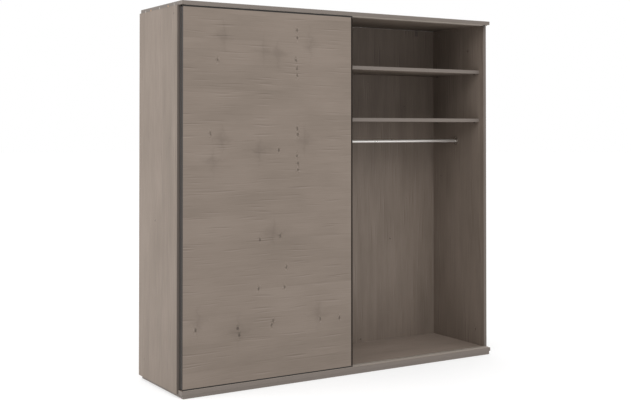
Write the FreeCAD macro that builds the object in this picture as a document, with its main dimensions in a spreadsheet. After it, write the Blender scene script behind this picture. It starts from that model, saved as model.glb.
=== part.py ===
import os
import re

import FreeCAD, Part
import Sketcher

# A free-standing wardrobe with two sliding doors that pass one another in front of the carcass.
# Millimetres. +X runs to the right along the front, -Y is the front, +Z is up, and the origin is
# on the floor under the middle of the box. "Depth" words are measured back from the front edges
# of the top and base boards, which stand proud of the side panels so that the doors run between them.

SIZES = {
    # overall
    "width": 2200, "height": 2160, "depth": 580,
    # boards
    "side_board": 22, "top_board": 22, "base_board": 22, "shelf_board": 22, "partition_board": 22,
    "door_board": 16, "back_board": 6,
    "end_inset": 9, "board_round": 1.5, "shelf_round": 1.0,
    # plinth under the base board
    "plinth_rise": 20, "plinth_width": 50, "plinth_inset": 18, "plinth_setback": 1,
    "glide_rise": 2, "glide_dia": 20, "glide_nail": 2, "glide_nail_rise": 12, "glide_inset": 25,
    # carcass
    "door_zone": 46, "partition_setback": 14, "back_recess": 8, "rebate_width": 10, "back_fit": 1,
    "upper_bay": 293, "middle_bay": 295, "shelf_setback": 42, "shelf_fit": 0.8, "shelf_rear_gap": 2,
    # clothes rails
    "rail_dia": 20, "rail_wall": 1.2, "rail_drop": 124, "rail_inset": 280, "rail_fit": 0.2,
    "cup_plate": 3, "cup_plate_width": 30, "cup_plate_rise": 52, "cup_depth": 14, "cup_wall": 3,
    "cup_screw_rise": 19, "cup_plate_flat": 1,
    # doors
    "door_set_in": 2, "door_pass_gap": 5.5, "door_head_gap": 11, "door_foot_gap": 8,
    "door_end_gap": 14, "door_overlap": 38,
    "edge_trim": 1.5, "grip_width": 10, "grip_wall": 1.5, "grip_lip": 2, "grip_groove": 11,
    "tongue_thick": 3, "tongue_depth": 6, "tongue_fit": 0.1,
    # tracks
    "track_plate": 1.6, "track_width": 56, "track_set_in": 2, "track_end_fit": 1,
    "rib_rise": 5, "rib_thick": 2.4,
    # rollers
    "wheel_dia": 25, "wheel_run_dia": 19.4, "wheel_width": 7, "groove_fit": 0.4, "groove_bevel": 0.6,
    "run_gap": 0.3, "wheel_side_fit": 0.3, "wheel_top_fit": 1, "axle_dia": 4, "axle_fit": 0.05,
    "housing_length": 64, "housing_width": 11, "housing_rise": 34, "mortise_fit": 0.2,
    "roller_inset": 90, "housing_screw_reach": 24, "housing_screw_rise": 26,
    # guides at the head of each door
    "guide_length": 40, "guide_width": 11, "guide_depth": 20, "guide_slot_fit": 0.3,
    "guide_head_fit": 1, "guide_floor": 2, "guide_inset": 60, "guide_screw_depth": 12,
    "stop_length": 14, "stop_gap": 0.5, "stop_web": 1.5, "stop_width": 9,
    # cam fittings and dowels
    "cam_dia": 15, "cam_depth": 12.5, "cam_fit": 0.1, "cam_backset": 34, "cam_margin": 60,
    "cam_slot": 7, "cam_slot_depth": 7.5, "bolt_hole": 8, "bolt_dia": 6, "bolt_past": 3,
    "cap_dia": 18, "cap_rise": 1,
    "thread_dia": 5, "thread_depth": 11, "dowel_dia": 8, "dowel_in_face": 10, "dowel_in_edge": 20,
    # shelf pins
    "pin_dia": 5, "pin_depth": 9, "pin_margin": 45, "pin_tongue": 8, "pin_tongue_width": 9,
    "pin_tongue_rise": 3,
    # screws and nails
    "screw_dia": 3.5, "screw_head": 7, "screw_sink": 1.6, "track_screw": 16, "cup_screw": 13,
    "bracket_screw": 14, "track_screw_margin": 70,
    "small_screw_dia": 3, "small_screw_head": 6, "small_screw_sink": 1.5, "small_screw": 11,
    "nail_dia": 1.6, "nail_head": 4.5, "nail_head_rise": 0.8, "nail": 20, "nail_margin": 90,
    # wall brackets
    "bracket_leg": 40, "bracket_width": 24, "bracket_plate": 2.5, "bracket_inset": 150,
    "wall_hole": 6, "wall_hole_drop": 24, "back_hole": 8, "bracket_screw_reach": 6,
}

SHELF_NAMES = ("upper", "lower")
TRACK_SCREWS = 7
NAILS_PER_EDGE = 7
NAILS_PER_FOOT = 4
GLIDES_PER_RAIL = 5

# Places along a joint between two boards, as shares of the way from its front margin to its rear one.
CAM_SHARES = (0, 0.5, 1)
DOWEL_SHARES = (0.2, 0.8)

# Proportions of the recesses that a screwdriver turns.
RECESS_ARM, RECESS_SLOT, RECESS_DEPTH = 0.6, 0.11, 0.75     # cross in a screw: of its head and its sink
POINT_TIP = 0.25                                            # tip of a screw's point: of its shank
SLOT_REACH, SLOT_WIDTH, SLOT_DEPTH = 0.55, 0.16, 0.2        # slot in a cam: of its radius and its depth
CUT_PAST = 1                                                # how far a cutter passes the wall it opens

doc = FreeCAD.newDocument("wardrobe")
sheet = doc.addObject("Spreadsheet::Sheet", "Sizes")
for row, (alias, number) in enumerate(SIZES.items(), 1):
    sheet.set(f"A{row}", alias)
    sheet.set(f"B{row}", str(number))
    sheet.setAlias(f"B{row}", alias)
doc.recompute()

parts = {}      # node name: the document object that is that sub-part
cutters = {}    # node name: the cutting bodies of that board

# Levels and planes that several pieces share, written in the sheet's names.
BASE_UNDER = "(glide_rise + plinth_rise)"
BASE_TOP = f"({BASE_UNDER} + base_board)"
TOP_UNDER = "(height - top_board)"
FRONT = "(-depth/2)"
CARCASS_FRONT = f"({FRONT} + door_zone)"
BACK_FACE = "(depth/2 - back_recess)"
SIDE_INNER = "(width/2 - side_board)"
HALF_PARTITION = "(partition_board/2)"
PANEL_HALF = "(width/2 - end_inset)"
SHELF_TOP = {
    "upper": f"({TOP_UNDER} - upper_bay)",
    "lower": f"({TOP_UNDER} - upper_bay - shelf_board - middle_bay)",
}
RAIL_LEVEL = f"({SHELF_TOP['lower']} - shelf_board - rail_drop)"
RAIL_PLANE = f"({CARCASS_FRONT} + rail_inset)"
DOOR_WIDTH = "((width - 2*door_end_gap + door_overlap)/2)"
DOOR_LEFT = "(door_end_gap - width/2)"
DOOR_FOOT = f"({BASE_TOP} + door_foot_gap)"
DOOR_HEAD = f"({TOP_UNDER} - door_head_gap)"
DOOR_HEIGHT = f"({DOOR_HEAD} - {DOOR_FOOT})"
DOOR_FACE = {
    "front": f"({FRONT} + door_set_in)",
    "rear": f"({FRONT} + door_set_in + door_board + door_pass_gap)",
}
DOOR_MIDDLE = {door: f"({face} + door_board/2)" for door, face in DOOR_FACE.items()}
WHEEL_LEVEL = f"({BASE_TOP} + track_plate + rib_rise + run_gap + wheel_run_dia/2)"
TRACK_FRONT = f"({FRONT} + track_set_in)"
TRACK_HALF = f"({SIDE_INNER} - track_end_fit)"
TRACK_SCREW_PLANE = f"(({DOOR_MIDDLE['front']} + {DOOR_MIDDLE['rear']})/2)"


def linked(text):
    """Point each bare size name in an expression at its cell in the sheet."""
    return re.sub(r"[a-z_]+", lambda word: "Sizes." + word[0] if word[0] in SIZES else word[0], str(text))


def value(text):
    """Number that an expression in the sheet's names gives."""
    return float(sheet.evalExpression(linked(text)))


def vector(texts):
    return FreeCAD.Vector(*(value(text) for text in texts))


def shifted(point, direction, distance):
    """Point moved along a whole-number direction by a distance, all as expressions."""
    return tuple(f"({p}) + ({d})*({distance})" for p, d in zip(point, direction))


def bind(obj, prop, text):
    obj.setExpression(prop, linked(text))


def place(obj, corner):
    for axis, text in zip("xyz", corner):
        bind(obj, "Placement.Base." + axis, text)


def box(name, size, corner):
    """Part::Box with its three sizes and its lowest corner bound to the sheet."""
    obj = doc.addObject("Part::Box", name)
    for prop, text in zip(("Length", "Width", "Height"), size):
        bind(obj, prop, text)
    place(obj, corner)
    return obj


def rod(name, diameter, length, start, direction):
    """Part::Cylinder from a point along a whole-number direction, bound to the sheet."""
    obj = doc.addObject("Part::Cylinder", name)
    bind(obj, "Radius", f"({diameter})/2")
    bind(obj, "Height", length)
    turn = FreeCAD.Rotation(FreeCAD.Vector(0, 0, 1), FreeCAD.Vector(*direction))
    obj.Placement = FreeCAD.Placement(FreeCAD.Vector(), turn)
    place(obj, start)
    return obj


def cone(name, wide, narrow, length, start, direction):
    """Part::Cone for a countersink, wide at its start, bound to the sheet."""
    obj = doc.addObject("Part::Cone", name)
    bind(obj, "Radius1", f"({wide})/2")
    bind(obj, "Radius2", f"({narrow})/2")
    bind(obj, "Height", length)
    turn = FreeCAD.Rotation(FreeCAD.Vector(0, 0, 1), FreeCAD.Vector(*direction))
    obj.Placement = FreeCAD.Placement(FreeCAD.Vector(), turn)
    place(obj, start)
    return obj


def add_cutter(board, obj):
    cutters.setdefault(board, []).append(obj)


def drill(board, diameter, length, start, direction):
    """Round blind or through hole that a board gets when it is cut."""
    number = len(cutters.get(board, []))
    add_cutter(board, rod(f"{board}_hole_{number}", diameter, length, start, direction))


def rounded(base, name, radius, wanted):
    """Part::Fillet of the edges of a piece that answer to wanted(edge)."""
    doc.recompute()
    fillet = doc.addObject("Part::Fillet", name)
    fillet.Base = base
    size = value(radius)
    fillet.Edges = [(n, size, size) for n, edge in enumerate(base.Shape.Edges, 1) if wanted(edge)]
    return fillet


def cut(base, tools, name):
    """Part::Cut of one piece by several tools at once."""
    tool = doc.addObject("Part::Compound", name + "_tools")
    tool.Links = tools
    result = doc.addObject("Part::Cut", name + "_cut")
    result.Base, result.Tool = base, tool
    return result


def fuse(pieces, name):
    result = doc.addObject("Part::MultiFuse", name + "_fuse")
    result.Shapes = pieces
    return result


def keep(node, obj):
    """Take a document object as the sub-part of this name."""
    obj.Label = node
    parts[node] = obj


def finish_board(node, base):
    """Cut a board's holes, grooves and notches and keep it."""
    keep(node, cut(base, cutters[node], node) if node in cutters else base)


def group(node, solids):
    """Part::Feature that holds identical small pieces as separate solids."""
    feature = doc.addObject("Part::Feature", node + "_group")
    feature.Shape = Part.makeCompound(solids)
    keep(node, feature)


def level_in(edge, axis, wanted):
    """Whether an edge lies in the plane where this axis has this value."""
    return all(abs(getattr(v.Point, axis) - wanted) < 1e-6 for v in edge.Vertexes)


def runs_along(edge, axis):
    start, end = edge.Vertexes[0].Point, edge.Vertexes[-1].Point
    return abs(getattr(end - start, axis)) > edge.Length - 1e-6


def sketch_on(body, name, plane_role, outline):
    """Closed sketch of straight lines through expression points, fixed by coordinates."""
    sketch = body.newObject("Sketcher::SketchObject", name)
    plane = next(f for f in body.Origin.OriginFeatures if f.Role == plane_role)
    sketch.AttachmentSupport = [(plane, "")]
    sketch.MapMode = "FlatFace"
    points = [FreeCAD.Vector(value(u), value(v), 0) for u, v in outline]
    for start, end in zip(points, points[1:] + points[:1]):
        sketch.addGeometry(Part.LineSegment(start, end), False)
    count = len(outline)
    for n in range(count):
        sketch.addConstraint(Sketcher.Constraint("Coincident", n, 2, (n + 1) % count, 1))
    for n, (u, v) in enumerate(outline):
        for kind, text, number in (("DistanceX", u, points[n].x), ("DistanceY", v, points[n].y)):
            index = sketch.addConstraint(Sketcher.Constraint(kind, -1, 1, n, 1, number))
            sketch.setExpression(f"Constraints[{index}]", linked(text))
    return sketch


def extrusion(node, plane_role, outline, length, start, turn=None):
    """PartDesign body: one outline padded to a length, then placed by expressions."""
    body = doc.addObject("PartDesign::Body", node + "_body")
    sketch = sketch_on(body, node + "_outline", plane_role, outline)
    pad = body.newObject("PartDesign::Pad", node + "_pad")
    pad.Profile = sketch
    bind(pad, "Length", length)
    body.Tip = pad
    if turn is not None:
        body.Placement = FreeCAD.Placement(FreeCAD.Vector(), turn)
    place(body, start)
    return body


# ---------------------------------------------------------------- small hardware, one solid each

def screw_solid(length, head, shank, sink):
    """Countersunk screw with its head's face at z = 0 and its point down -Z, with a cross recess."""
    head_part = Part.makeCone(head / 2, shank / 2, sink, FreeCAD.Vector(), FreeCAD.Vector(0, 0, -1))
    shank_part = Part.makeCylinder(shank / 2, length - sink - shank, FreeCAD.Vector(0, 0, -sink),
                                   FreeCAD.Vector(0, 0, -1))
    point = Part.makeCone(shank / 2, shank * POINT_TIP / 2, shank, FreeCAD.Vector(0, 0, shank - length),
                          FreeCAD.Vector(0, 0, -1))
    solid = head_part.fuse([shank_part, point]).removeSplitter()
    arm, slot, sunk = head * RECESS_ARM, head * RECESS_SLOT, sink * RECESS_DEPTH
    for long_x, long_y in ((arm, slot), (slot, arm)):
        corner = FreeCAD.Vector(-long_x / 2, -long_y / 2, -sunk)
        solid = solid.cut(Part.makeBox(long_x, long_y, sunk, corner))
    return solid


def aimed(solid, start, direction):
    """Copy of a solid drawn down -Z, moved to a point and turned to run along a direction."""
    copy = solid.copy()
    turn = FreeCAD.Rotation(FreeCAD.Vector(0, 0, -1), FreeCAD.Vector(*direction))
    copy.Placement = FreeCAD.Placement(start, turn)
    return copy


def standard_screw(length):
    return screw_solid(value(length), value("screw_head"), value("screw_dia"), value("screw_sink"))


def sunk_hole(board, start, direction, length, head, shank, sink):
    """Countersink and pilot hole for one screw in the board that its head sits in."""
    number = len(cutters.get(board, []))
    add_cutter(board, cone(f"{board}_sink_{number}", head, shank, sink, start, direction))
    drill(board, shank, length, start, direction)


# ---------------------------------------------------------------- carcass joints

def carcass_joints():
    """Cam fittings and dowels at both ends of the two sides and the partition."""
    discs, bolts, dowels, caps = [], [], [], []
    side_middle = "(width/2 - side_board/2)"
    uprights = (("side_left", f"-{side_middle}", CARCASS_FRONT, (1, 0, 0)),
                ("centre_partition", "0", f"({CARCASS_FRONT} + partition_setback)", (-1, 0, 0)),
                ("side_right", side_middle, CARCASS_FRONT, (-1, 0, 0)))
    joints = []
    for board, x, front, inward in uprights:
        thick = "partition_board" if board == "centre_partition" else "side_board"
        joints.append((board, "top_panel", lambda y, x=x: (x, y, TOP_UNDER), (0, 0, -1), inward,
                       thick, front))
        if board == "centre_partition":
            joints.append((board, "bottom_panel", lambda y, x=x: (x, y, BASE_TOP), (0, 0, 1), inward,
                           thick, front))
        else:
            edge = f"{-inward[0]}*{SIDE_INNER}"
            middle = f"({BASE_UNDER} + base_board/2)"
            joints.append(("bottom_panel", board, lambda y, e=edge, m=middle: (e, y, m), inward, (0, 0, -1),
                           "base_board", front))

    def at(front, share):
        """Plane a share of the way from the front margin to the rear margin of an upright."""
        return f"({front} + cam_margin + ({share})*({BACK_FACE} - {front} - 2*cam_margin))"

    for edge_board, face_board, origin, into, pocket_side, thick, front in joints:
        back_out = tuple(-d for d in into)
        for share in CAM_SHARES:
            start = origin(at(front, share))
            drill(face_board, "thread_dia", "thread_depth", start, back_out)
            drill(edge_board, "bolt_hole", "cam_backset + bolt_past", start, into)
            pocket = shifted(shifted(start, into, "cam_backset"), pocket_side, f"{thick}/2")
            drill(edge_board, "cam_dia + 2*cam_fit", "cam_depth", pocket,
                  tuple(-d for d in pocket_side))
            discs.append(cam_disc(vector(pocket), pocket_side, into))
            bolts.append(cam_bolt(vector(start), into))
            if edge_board != "bottom_panel":
                caps.append(Part.makeCylinder(value("cap_dia/2"), value("cap_rise"), vector(pocket),
                                              FreeCAD.Vector(*pocket_side)))
        for share in DOWEL_SHARES:
            start = origin(at(front, share))
            drill(face_board, "dowel_dia", "dowel_in_face", start, back_out)
            drill(edge_board, "dowel_dia", "dowel_in_edge", start, into)
            foot = vector(shifted(start, back_out, "dowel_in_face"))
            length = value("dowel_in_face + dowel_in_edge")
            dowels.append(Part.makeCylinder(value("dowel_dia/2"), length, foot, FreeCAD.Vector(*into)))
    group("cam_discs", discs)
    group("cam_bolts", bolts)
    group("cam_caps", caps)
    group("wood_dowels", dowels)


def cam_disc(face_centre, outward, into):
    """Cam disc with a screwdriver slot in its face and a channel for the bolt underneath."""
    out, back = FreeCAD.Vector(*outward), FreeCAD.Vector(*into)
    across = out.cross(back)
    depth, radius = value("cam_depth"), value("cam_dia/2")
    disc = Part.makeCylinder(radius, depth, face_centre, -out)

    def bar(behind, ahead, wide, near, deep):
        """Block across the disc's axis, from behind it to ahead of it, cut inwards from near its face."""
        corner = face_centre - back * behind - across * (wide / 2) - out * near
        frame = FreeCAD.Matrix(back.x, across.x, -out.x, corner.x, back.y, across.y, -out.y, corner.y,
                               back.z, across.z, -out.z, corner.z, 0, 0, 0, 1)
        return Part.makeBox(behind + ahead, wide, deep).transformGeometry(frame)

    channel_top = value("cam_slot_depth")
    channel = bar(radius + CUT_PAST, value("bolt_past") + CUT_PAST, value("cam_slot"), channel_top,
                  depth - channel_top + CUT_PAST)
    slot = bar(radius * SLOT_REACH, radius * SLOT_REACH, radius * SLOT_WIDTH, 0, depth * SLOT_DEPTH)
    return disc.cut([channel, slot])


def cam_bolt(joint_point, into):
    """Connecting bolt: its thread is in the face board and its shank reaches past the cam's centre."""
    along = FreeCAD.Vector(*into)
    thread = Part.makeCylinder(value("thread_dia/2"), value("thread_depth"), joint_point, -along)
    shank = Part.makeCylinder(value("bolt_dia/2"), value("cam_backset + bolt_past"), joint_point, along)
    return thread.fuse(shank)


# ---------------------------------------------------------------- carcass boards

def base():
    """Plinth rails with their glides, and the base board, notched round the side panels."""
    rail_half = "(width/2 - plinth_inset)"
    front = f"({FRONT} + plinth_setback)"
    rear = f"({BACK_FACE} - plinth_width)"
    bed = "glide_rise"
    glides = []
    for node, y in (("plinth_front", front), ("plinth_rear", rear)):
        rail = box(node + "_box", (f"2*{rail_half}", "plinth_width", "plinth_rise"),
                   (f"-{rail_half}", y, bed))
        for n in range(GLIDES_PER_RAIL):
            share = 2 * n / (GLIDES_PER_RAIL - 1) - 1
            point = (f"({share})*({rail_half} - glide_inset)", f"({y} + plinth_width/2)", bed)
            drill(node, "glide_nail", "glide_nail_rise", point, (0, 0, 1))
            foot = vector(point)
            pad = Part.makeCylinder(value("glide_dia/2"), value("glide_rise"), foot,
                                    FreeCAD.Vector(0, 0, -1))
            nail = Part.makeCylinder(value("glide_nail/2"), value("glide_nail_rise"), foot)
            glides.append(pad.fuse(nail))
        finish_board(node, rail)
    group("floor_glides", glides)
    cross_length = f"({rear} - {front} - plinth_width)"
    for side, x in (("left", f"-{rail_half}"), ("centre", "-plinth_width/2"),
                    ("right", f"({rail_half} - plinth_width)")):
        node = f"plinth_rail_{side}"
        keep(node, box(node + "_box", ("plinth_width", cross_length, "plinth_rise"),
                       (x, f"({front} + plinth_width)", bed)))

    board = box("bottom_panel_box", (f"2*{PANEL_HALF}", f"({BACK_FACE} - {FRONT})", "base_board"),
                (f"-{PANEL_HALF}", FRONT, BASE_UNDER))
    board = rounded(board, "bottom_panel_round", "board_round",
                    lambda e: level_in(e, "y", value(FRONT)) and runs_along(e, "x"))
    for side, x in (("left", f"-{PANEL_HALF}"), ("right", SIDE_INNER)):
        notch_size = (f"({PANEL_HALF} - {SIDE_INNER})", f"({BACK_FACE} - {CARCASS_FRONT})", "base_board")
        notch = box(f"bottom_notch_{side}", notch_size, (x, CARCASS_FRONT, BASE_UNDER))
        add_cutter("bottom_panel", notch)
    finish_board("bottom_panel", board)


def top():
    """Top board, flush at the rear and proud of the side panels at the front."""
    board = box("top_panel_box", (f"2*{PANEL_HALF}", "depth", "top_board"),
                (f"-{PANEL_HALF}", FRONT, TOP_UNDER))
    board = rounded(board, "top_panel_round", "board_round",
                    lambda e: (level_in(e, "y", value(FRONT)) and runs_along(e, "x"))
                    or (level_in(e, "z", value("height")) and runs_along(e, "y")))
    finish_board("top_panel", board)


def uprights():
    """Side panels with a rebate for the back, and the partition between the two bays."""
    rise = f"({TOP_UNDER} - {BASE_UNDER})"
    for side, x, rebate in (("left", "-width/2", f"-({SIDE_INNER} + rebate_width)"),
                            ("right", SIDE_INNER, SIDE_INNER)):
        node = f"side_{side}"
        panel = box(node + "_box", ("side_board", "(depth - door_zone)", rise),
                    (x, CARCASS_FRONT, BASE_UNDER))
        panel = rounded(panel, node + "_round", "shelf_round",
                        lambda e: level_in(e, "y", value(CARCASS_FRONT)) and runs_along(e, "z"))
        add_cutter(node, box(node + "_rebate", ("rebate_width", "back_recess", rise),
                             (rebate, BACK_FACE, BASE_UNDER)))
        finish_board(node, panel)
    front = f"({CARCASS_FRONT} + partition_setback)"
    panel = box("centre_partition_box",
                ("partition_board", f"({BACK_FACE} - {front})", f"({TOP_UNDER} - {BASE_TOP})"),
                (f"-{HALF_PARTITION}", front, BASE_TOP))
    panel = rounded(panel, "centre_partition_round", "shelf_round",
                    lambda e: level_in(e, "y", value(front)) and runs_along(e, "z"))
    finish_board("centre_partition", panel)


def shelf_places():
    """(bay, sign, shelf) for each shelf; the sign points to that bay's side panel."""
    return [(bay, sign, shelf) for bay, sign in (("left", -1), ("right", 1)) for shelf in SHELF_NAMES]


def shelves():
    """Two shelves in the head of each bay, each on four pins."""
    pins = []
    clear = f"({SIDE_INNER} - {HALF_PARTITION})"
    front = f"({CARCASS_FRONT} + shelf_setback)"
    reach = f"({BACK_FACE} - shelf_rear_gap - {front})"
    for bay, sign, shelf in shelf_places():
        node = f"shelf_{bay}_{shelf}"
        under = f"({SHELF_TOP[shelf]} - shelf_board)"
        x = f"({HALF_PARTITION} + shelf_fit)" if sign > 0 else f"(shelf_fit - {SIDE_INNER})"
        board = box(node + "_box", (f"({clear} - 2*shelf_fit)", reach, "shelf_board"), (x, front, under))
        keep(node, rounded(board, node + "_round", "shelf_round",
                           lambda e: level_in(e, "y", value(front)) and runs_along(e, "x")))
        for y in (f"({front} + pin_margin)", f"({front} + {reach} - pin_margin)"):
            walls = ((f"side_{bay}", f"{sign}*{SIDE_INNER}", (sign, 0, 0)),
                     ("centre_partition", f"{sign}*{HALF_PARTITION}", (-sign, 0, 0)))
            for upright, wall, outward in walls:
                root = (wall, y, f"({under} - pin_tongue_rise/2 - pin_dia/4)")
                drill(upright, "pin_dia", "pin_depth", root, outward)
                pins.append(shelf_pin(vector(root), outward, value(under)))
    group("shelf_pins", pins)


def shelf_pin(root, outward, shelf_under):
    """Pin in the board with a flat tongue that the shelf rests on."""
    into_board = FreeCAD.Vector(*outward)
    reach, wide = value("pin_tongue"), value("pin_tongue_width")
    rise = value("pin_tongue_rise + pin_dia/2")
    pin = Part.makeCylinder(value("pin_dia/2"), value("pin_depth"), root, into_board)
    low_x = min(root.x, root.x - into_board.x * reach)
    low = FreeCAD.Vector(low_x, root.y - wide / 2, shelf_under - rise)
    tongue = Part.makeBox(reach, wide, rise, low)
    return pin.fuse(tongue)


def backs():
    """Two thin back panels, nailed to the sides, the partition and the base board."""
    nail_solid = nail()
    nails = []
    low = f"({BASE_UNDER} + 2*back_fit)"
    high = f"({TOP_UNDER} - back_fit)"
    rear_face = f"({BACK_FACE} + back_board)"
    outer = f"({SIDE_INNER} + rebate_width - back_fit)"
    into = (0, -1, 0)
    for side, sign in (("left", -1), ("right", 1)):
        node = f"back_panel_{side}"
        x = f"-{outer}" if sign < 0 else "back_fit/2"
        panel = box(node + "_box", (f"({outer} - back_fit/2)", "back_board", f"({high} - {low})"),
                    (x, BACK_FACE, low))
        spots = []
        for n in range(NAILS_PER_EDGE):
            share = n / (NAILS_PER_EDGE - 1)
            z = f"({BASE_TOP} + nail_margin + ({share})*({high} - {BASE_TOP} - 2*nail_margin))"
            spots.append((f"side_{side}", f"{sign}*({SIDE_INNER} + rebate_width/2)", z))
            spots.append(("centre_partition", f"{sign}*partition_board/4", z))
        for n in range(NAILS_PER_FOOT):
            share = (n + 0.5) / NAILS_PER_FOOT
            spots.append(("bottom_panel", f"{sign}*({share})*{SIDE_INNER}",
                          f"({BASE_UNDER} + base_board/2)"))
        for board, spot_x, z in spots:
            start = (spot_x, rear_face, z)
            drill(node, "nail_dia", "back_board", start, into)
            drill(board, "nail_dia", "nail - back_board", (spot_x, BACK_FACE, z), into)
            nails.append(aimed(nail_solid, vector(start), into))
        hole = (f"{sign}*({SIDE_INNER} - bracket_inset)", rear_face,
                f"({TOP_UNDER} - wall_hole_drop)")
        drill(node, "back_hole", "back_board", hole, into)
        finish_board(node, panel)
    group("back_panel_nails", nails)


def nail():
    """Flat-headed nail: head above z = 0, shank down -Z."""
    head = Part.makeCylinder(value("nail_head/2"), value("nail_head_rise"))
    down = FreeCAD.Vector(0, 0, -1)
    return head.fuse(Part.makeCylinder(value("nail_dia/2"), value("nail"), FreeCAD.Vector(), down))


def wall_brackets():
    """Angle brackets under the top board that tie the wardrobe to a wall through the back."""
    screws = []
    for side, sign in (("left", -1), ("right", 1)):
        node = f"wall_bracket_{side}"
        middle = f"{sign}*({SIDE_INNER} - bracket_inset)"
        x = f"({middle} - bracket_width/2)"
        upper = box(node + "_upper", ("bracket_width", "bracket_leg", "bracket_plate"),
                    (x, f"({BACK_FACE} - bracket_leg)", f"({TOP_UNDER} - bracket_plate)"))
        leg = box(node + "_leg", ("bracket_width", "bracket_plate", "bracket_leg"),
                  (x, f"({BACK_FACE} - bracket_plate)", f"({TOP_UNDER} - bracket_leg)"))
        drill(node, "wall_hole", "bracket_plate",
              (middle, BACK_FACE, f"({TOP_UNDER} - wall_hole_drop)"), (0, -1, 0))
        for way in (-1, 1):
            start = (f"({middle} + {way}*bracket_screw_reach)", f"({BACK_FACE} - bracket_leg*2/3)",
                     f"({TOP_UNDER} - bracket_plate)")
            up = (0, 0, 1)
            sunk_hole(node, start, up, "bracket_plate", "screw_head", "screw_dia", "screw_sink")
            drill("top_panel", "screw_dia", "bracket_screw - bracket_plate", (*start[:2], TOP_UNDER), up)
            screws.append(aimed(standard_screw("bracket_screw"), vector(start), up))
        finish_board(node, fuse([upper, leg], node))
    group("bracket_screws", screws)


def clothes_rails():
    """One round tube across each bay, held in a cup at each end."""
    screws = []
    for bay, sign in (("left", -1), ("right", 1)):
        low, high = HALF_PARTITION, SIDE_INNER
        if sign < 0:
            low, high = f"-{SIDE_INNER}", f"-{HALF_PARTITION}"
        start = (f"({low} + cup_plate)", RAIL_PLANE, RAIL_LEVEL)
        length = f"({high} - {low} - 2*cup_plate)"
        tube = rod(f"clothes_rail_{bay}_outer", "rail_dia", length, start, (1, 0, 0))
        bore = rod(f"clothes_rail_{bay}_bore", "rail_dia - 2*rail_wall", length, start, (1, 0, 0))
        keep(f"clothes_rail_{bay}", cut(tube, [bore], f"clothes_rail_{bay}"))
        for wall, inward in ((low, 1), (high, -1)):
            to_side = (inward > 0) == (sign < 0)
            board = f"side_{bay}" if to_side else "centre_partition"
            node = f"rail_cup_{bay}_{'outer' if to_side else 'inner'}"
            plate_x = wall if inward > 0 else f"({wall} - cup_plate)"
            plate = box(node + "_plate", ("cup_plate", "cup_plate_width", "cup_plate_rise"),
                        (plate_x, f"({RAIL_PLANE} - cup_plate_width/2)",
                         f"({RAIL_LEVEL} - cup_plate_rise/2)"))
            plate = rounded(plate, node + "_round", "cup_plate_width/2 - cup_plate_flat",
                            lambda e: runs_along(e, "x"))
            ring = rod(node + "_ring", "rail_dia + 2*rail_fit + 2*cup_wall", "cup_depth",
                       (wall, RAIL_PLANE, RAIL_LEVEL), (inward, 0, 0))
            seat = rod(node + "_seat", "rail_dia + 2*rail_fit", "cup_depth",
                       (f"({wall} + {inward}*cup_plate)", RAIL_PLANE, RAIL_LEVEL), (inward, 0, 0))
            add_cutter(node, seat)
            outward = (-inward, 0, 0)
            for way in (-1, 1):
                face = (f"({wall} + {inward}*cup_plate)", RAIL_PLANE,
                        f"({RAIL_LEVEL} + {way}*cup_screw_rise)")
                sunk_hole(node, face, outward, "cup_plate", "screw_head", "screw_dia", "screw_sink")
                drill(board, "screw_dia", "cup_screw - cup_plate", (wall, *face[1:]), outward)
                screws.append(aimed(standard_screw("cup_screw"), vector(face), outward))
            finish_board(node, fuse([plate, ring], node))
    group("rail_cup_screws", screws)


# ---------------------------------------------------------------- tracks

def track_outline(way):
    """Section of a track: a plate with two ribs. way is 1 with the ribs up, -1 with them down."""
    plate, crest = f"{way}*track_plate", f"{way}*(track_plate + rib_rise)"
    edge = [("0", "0"), ("0", plate)]
    for door in ("front", "rear"):
        middle = f"({DOOR_MIDDLE[door]} - {TRACK_FRONT})"
        near, far = f"({middle} - rib_thick/2)", f"({middle} + rib_thick/2)"
        edge += [(near, plate), (near, crest), (far, crest), (far, plate)]
    return edge + [("track_width", plate), ("track_width", "0")]


def tracks():
    """Bottom track that carries the rollers and top track that guides the door heads."""
    screws = []
    screw = standard_screw("track_screw")
    for node, board, level, way in (("bottom_track", "bottom_panel", BASE_TOP, 1),
                                    ("top_track", "top_panel", TOP_UNDER, -1)):
        body = extrusion(node, "YZ_Plane", track_outline(way), f"2*{TRACK_HALF}",
                         (f"-{TRACK_HALF}", TRACK_FRONT, level))
        into = (0, 0, -way)
        for n in range(TRACK_SCREWS):
            share = 2 * n / (TRACK_SCREWS - 1) - 1
            start = (f"({share})*({TRACK_HALF} - track_screw_margin)", TRACK_SCREW_PLANE,
                     f"({level} + {way}*track_plate)")
            sunk_hole(node, start, into, "track_plate", "screw_head", "screw_dia", "screw_sink")
            drill(board, "screw_dia", "track_screw - track_plate", (*start[:2], level), into)
            screws.append(aimed(screw, vector(start), into))
        finish_board(node, body)
    group("track_screws", screws)
    end_stops()


def end_stops():
    """Rubber stops clipped over the top ribs where the guides end their travel."""
    under_plate = value(f"{TOP_UNDER} - track_plate")
    rise, wide, length = value("rib_rise + stop_web"), value("stop_width"), value("stop_length")
    rib_rise, rib_thick = value("rib_rise"), value("rib_thick")
    reach = value("width/2 - door_end_gap - guide_inset + guide_length/2 + stop_gap")
    stops = []
    for door in ("front", "rear"):
        middle = value(DOOR_MIDDLE[door])
        for low_x in (-reach - length, reach):
            corner = FreeCAD.Vector(low_x, middle - wide / 2, under_plate - rise)
            inner = FreeCAD.Vector(low_x, middle - rib_thick / 2, under_plate - rib_rise)
            stops.append(Part.makeBox(length, wide, rise, corner).cut(
                Part.makeBox(length, rib_thick, rib_rise, inner)))
    group("track_end_stops", stops)


# ---------------------------------------------------------------- doors

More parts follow.
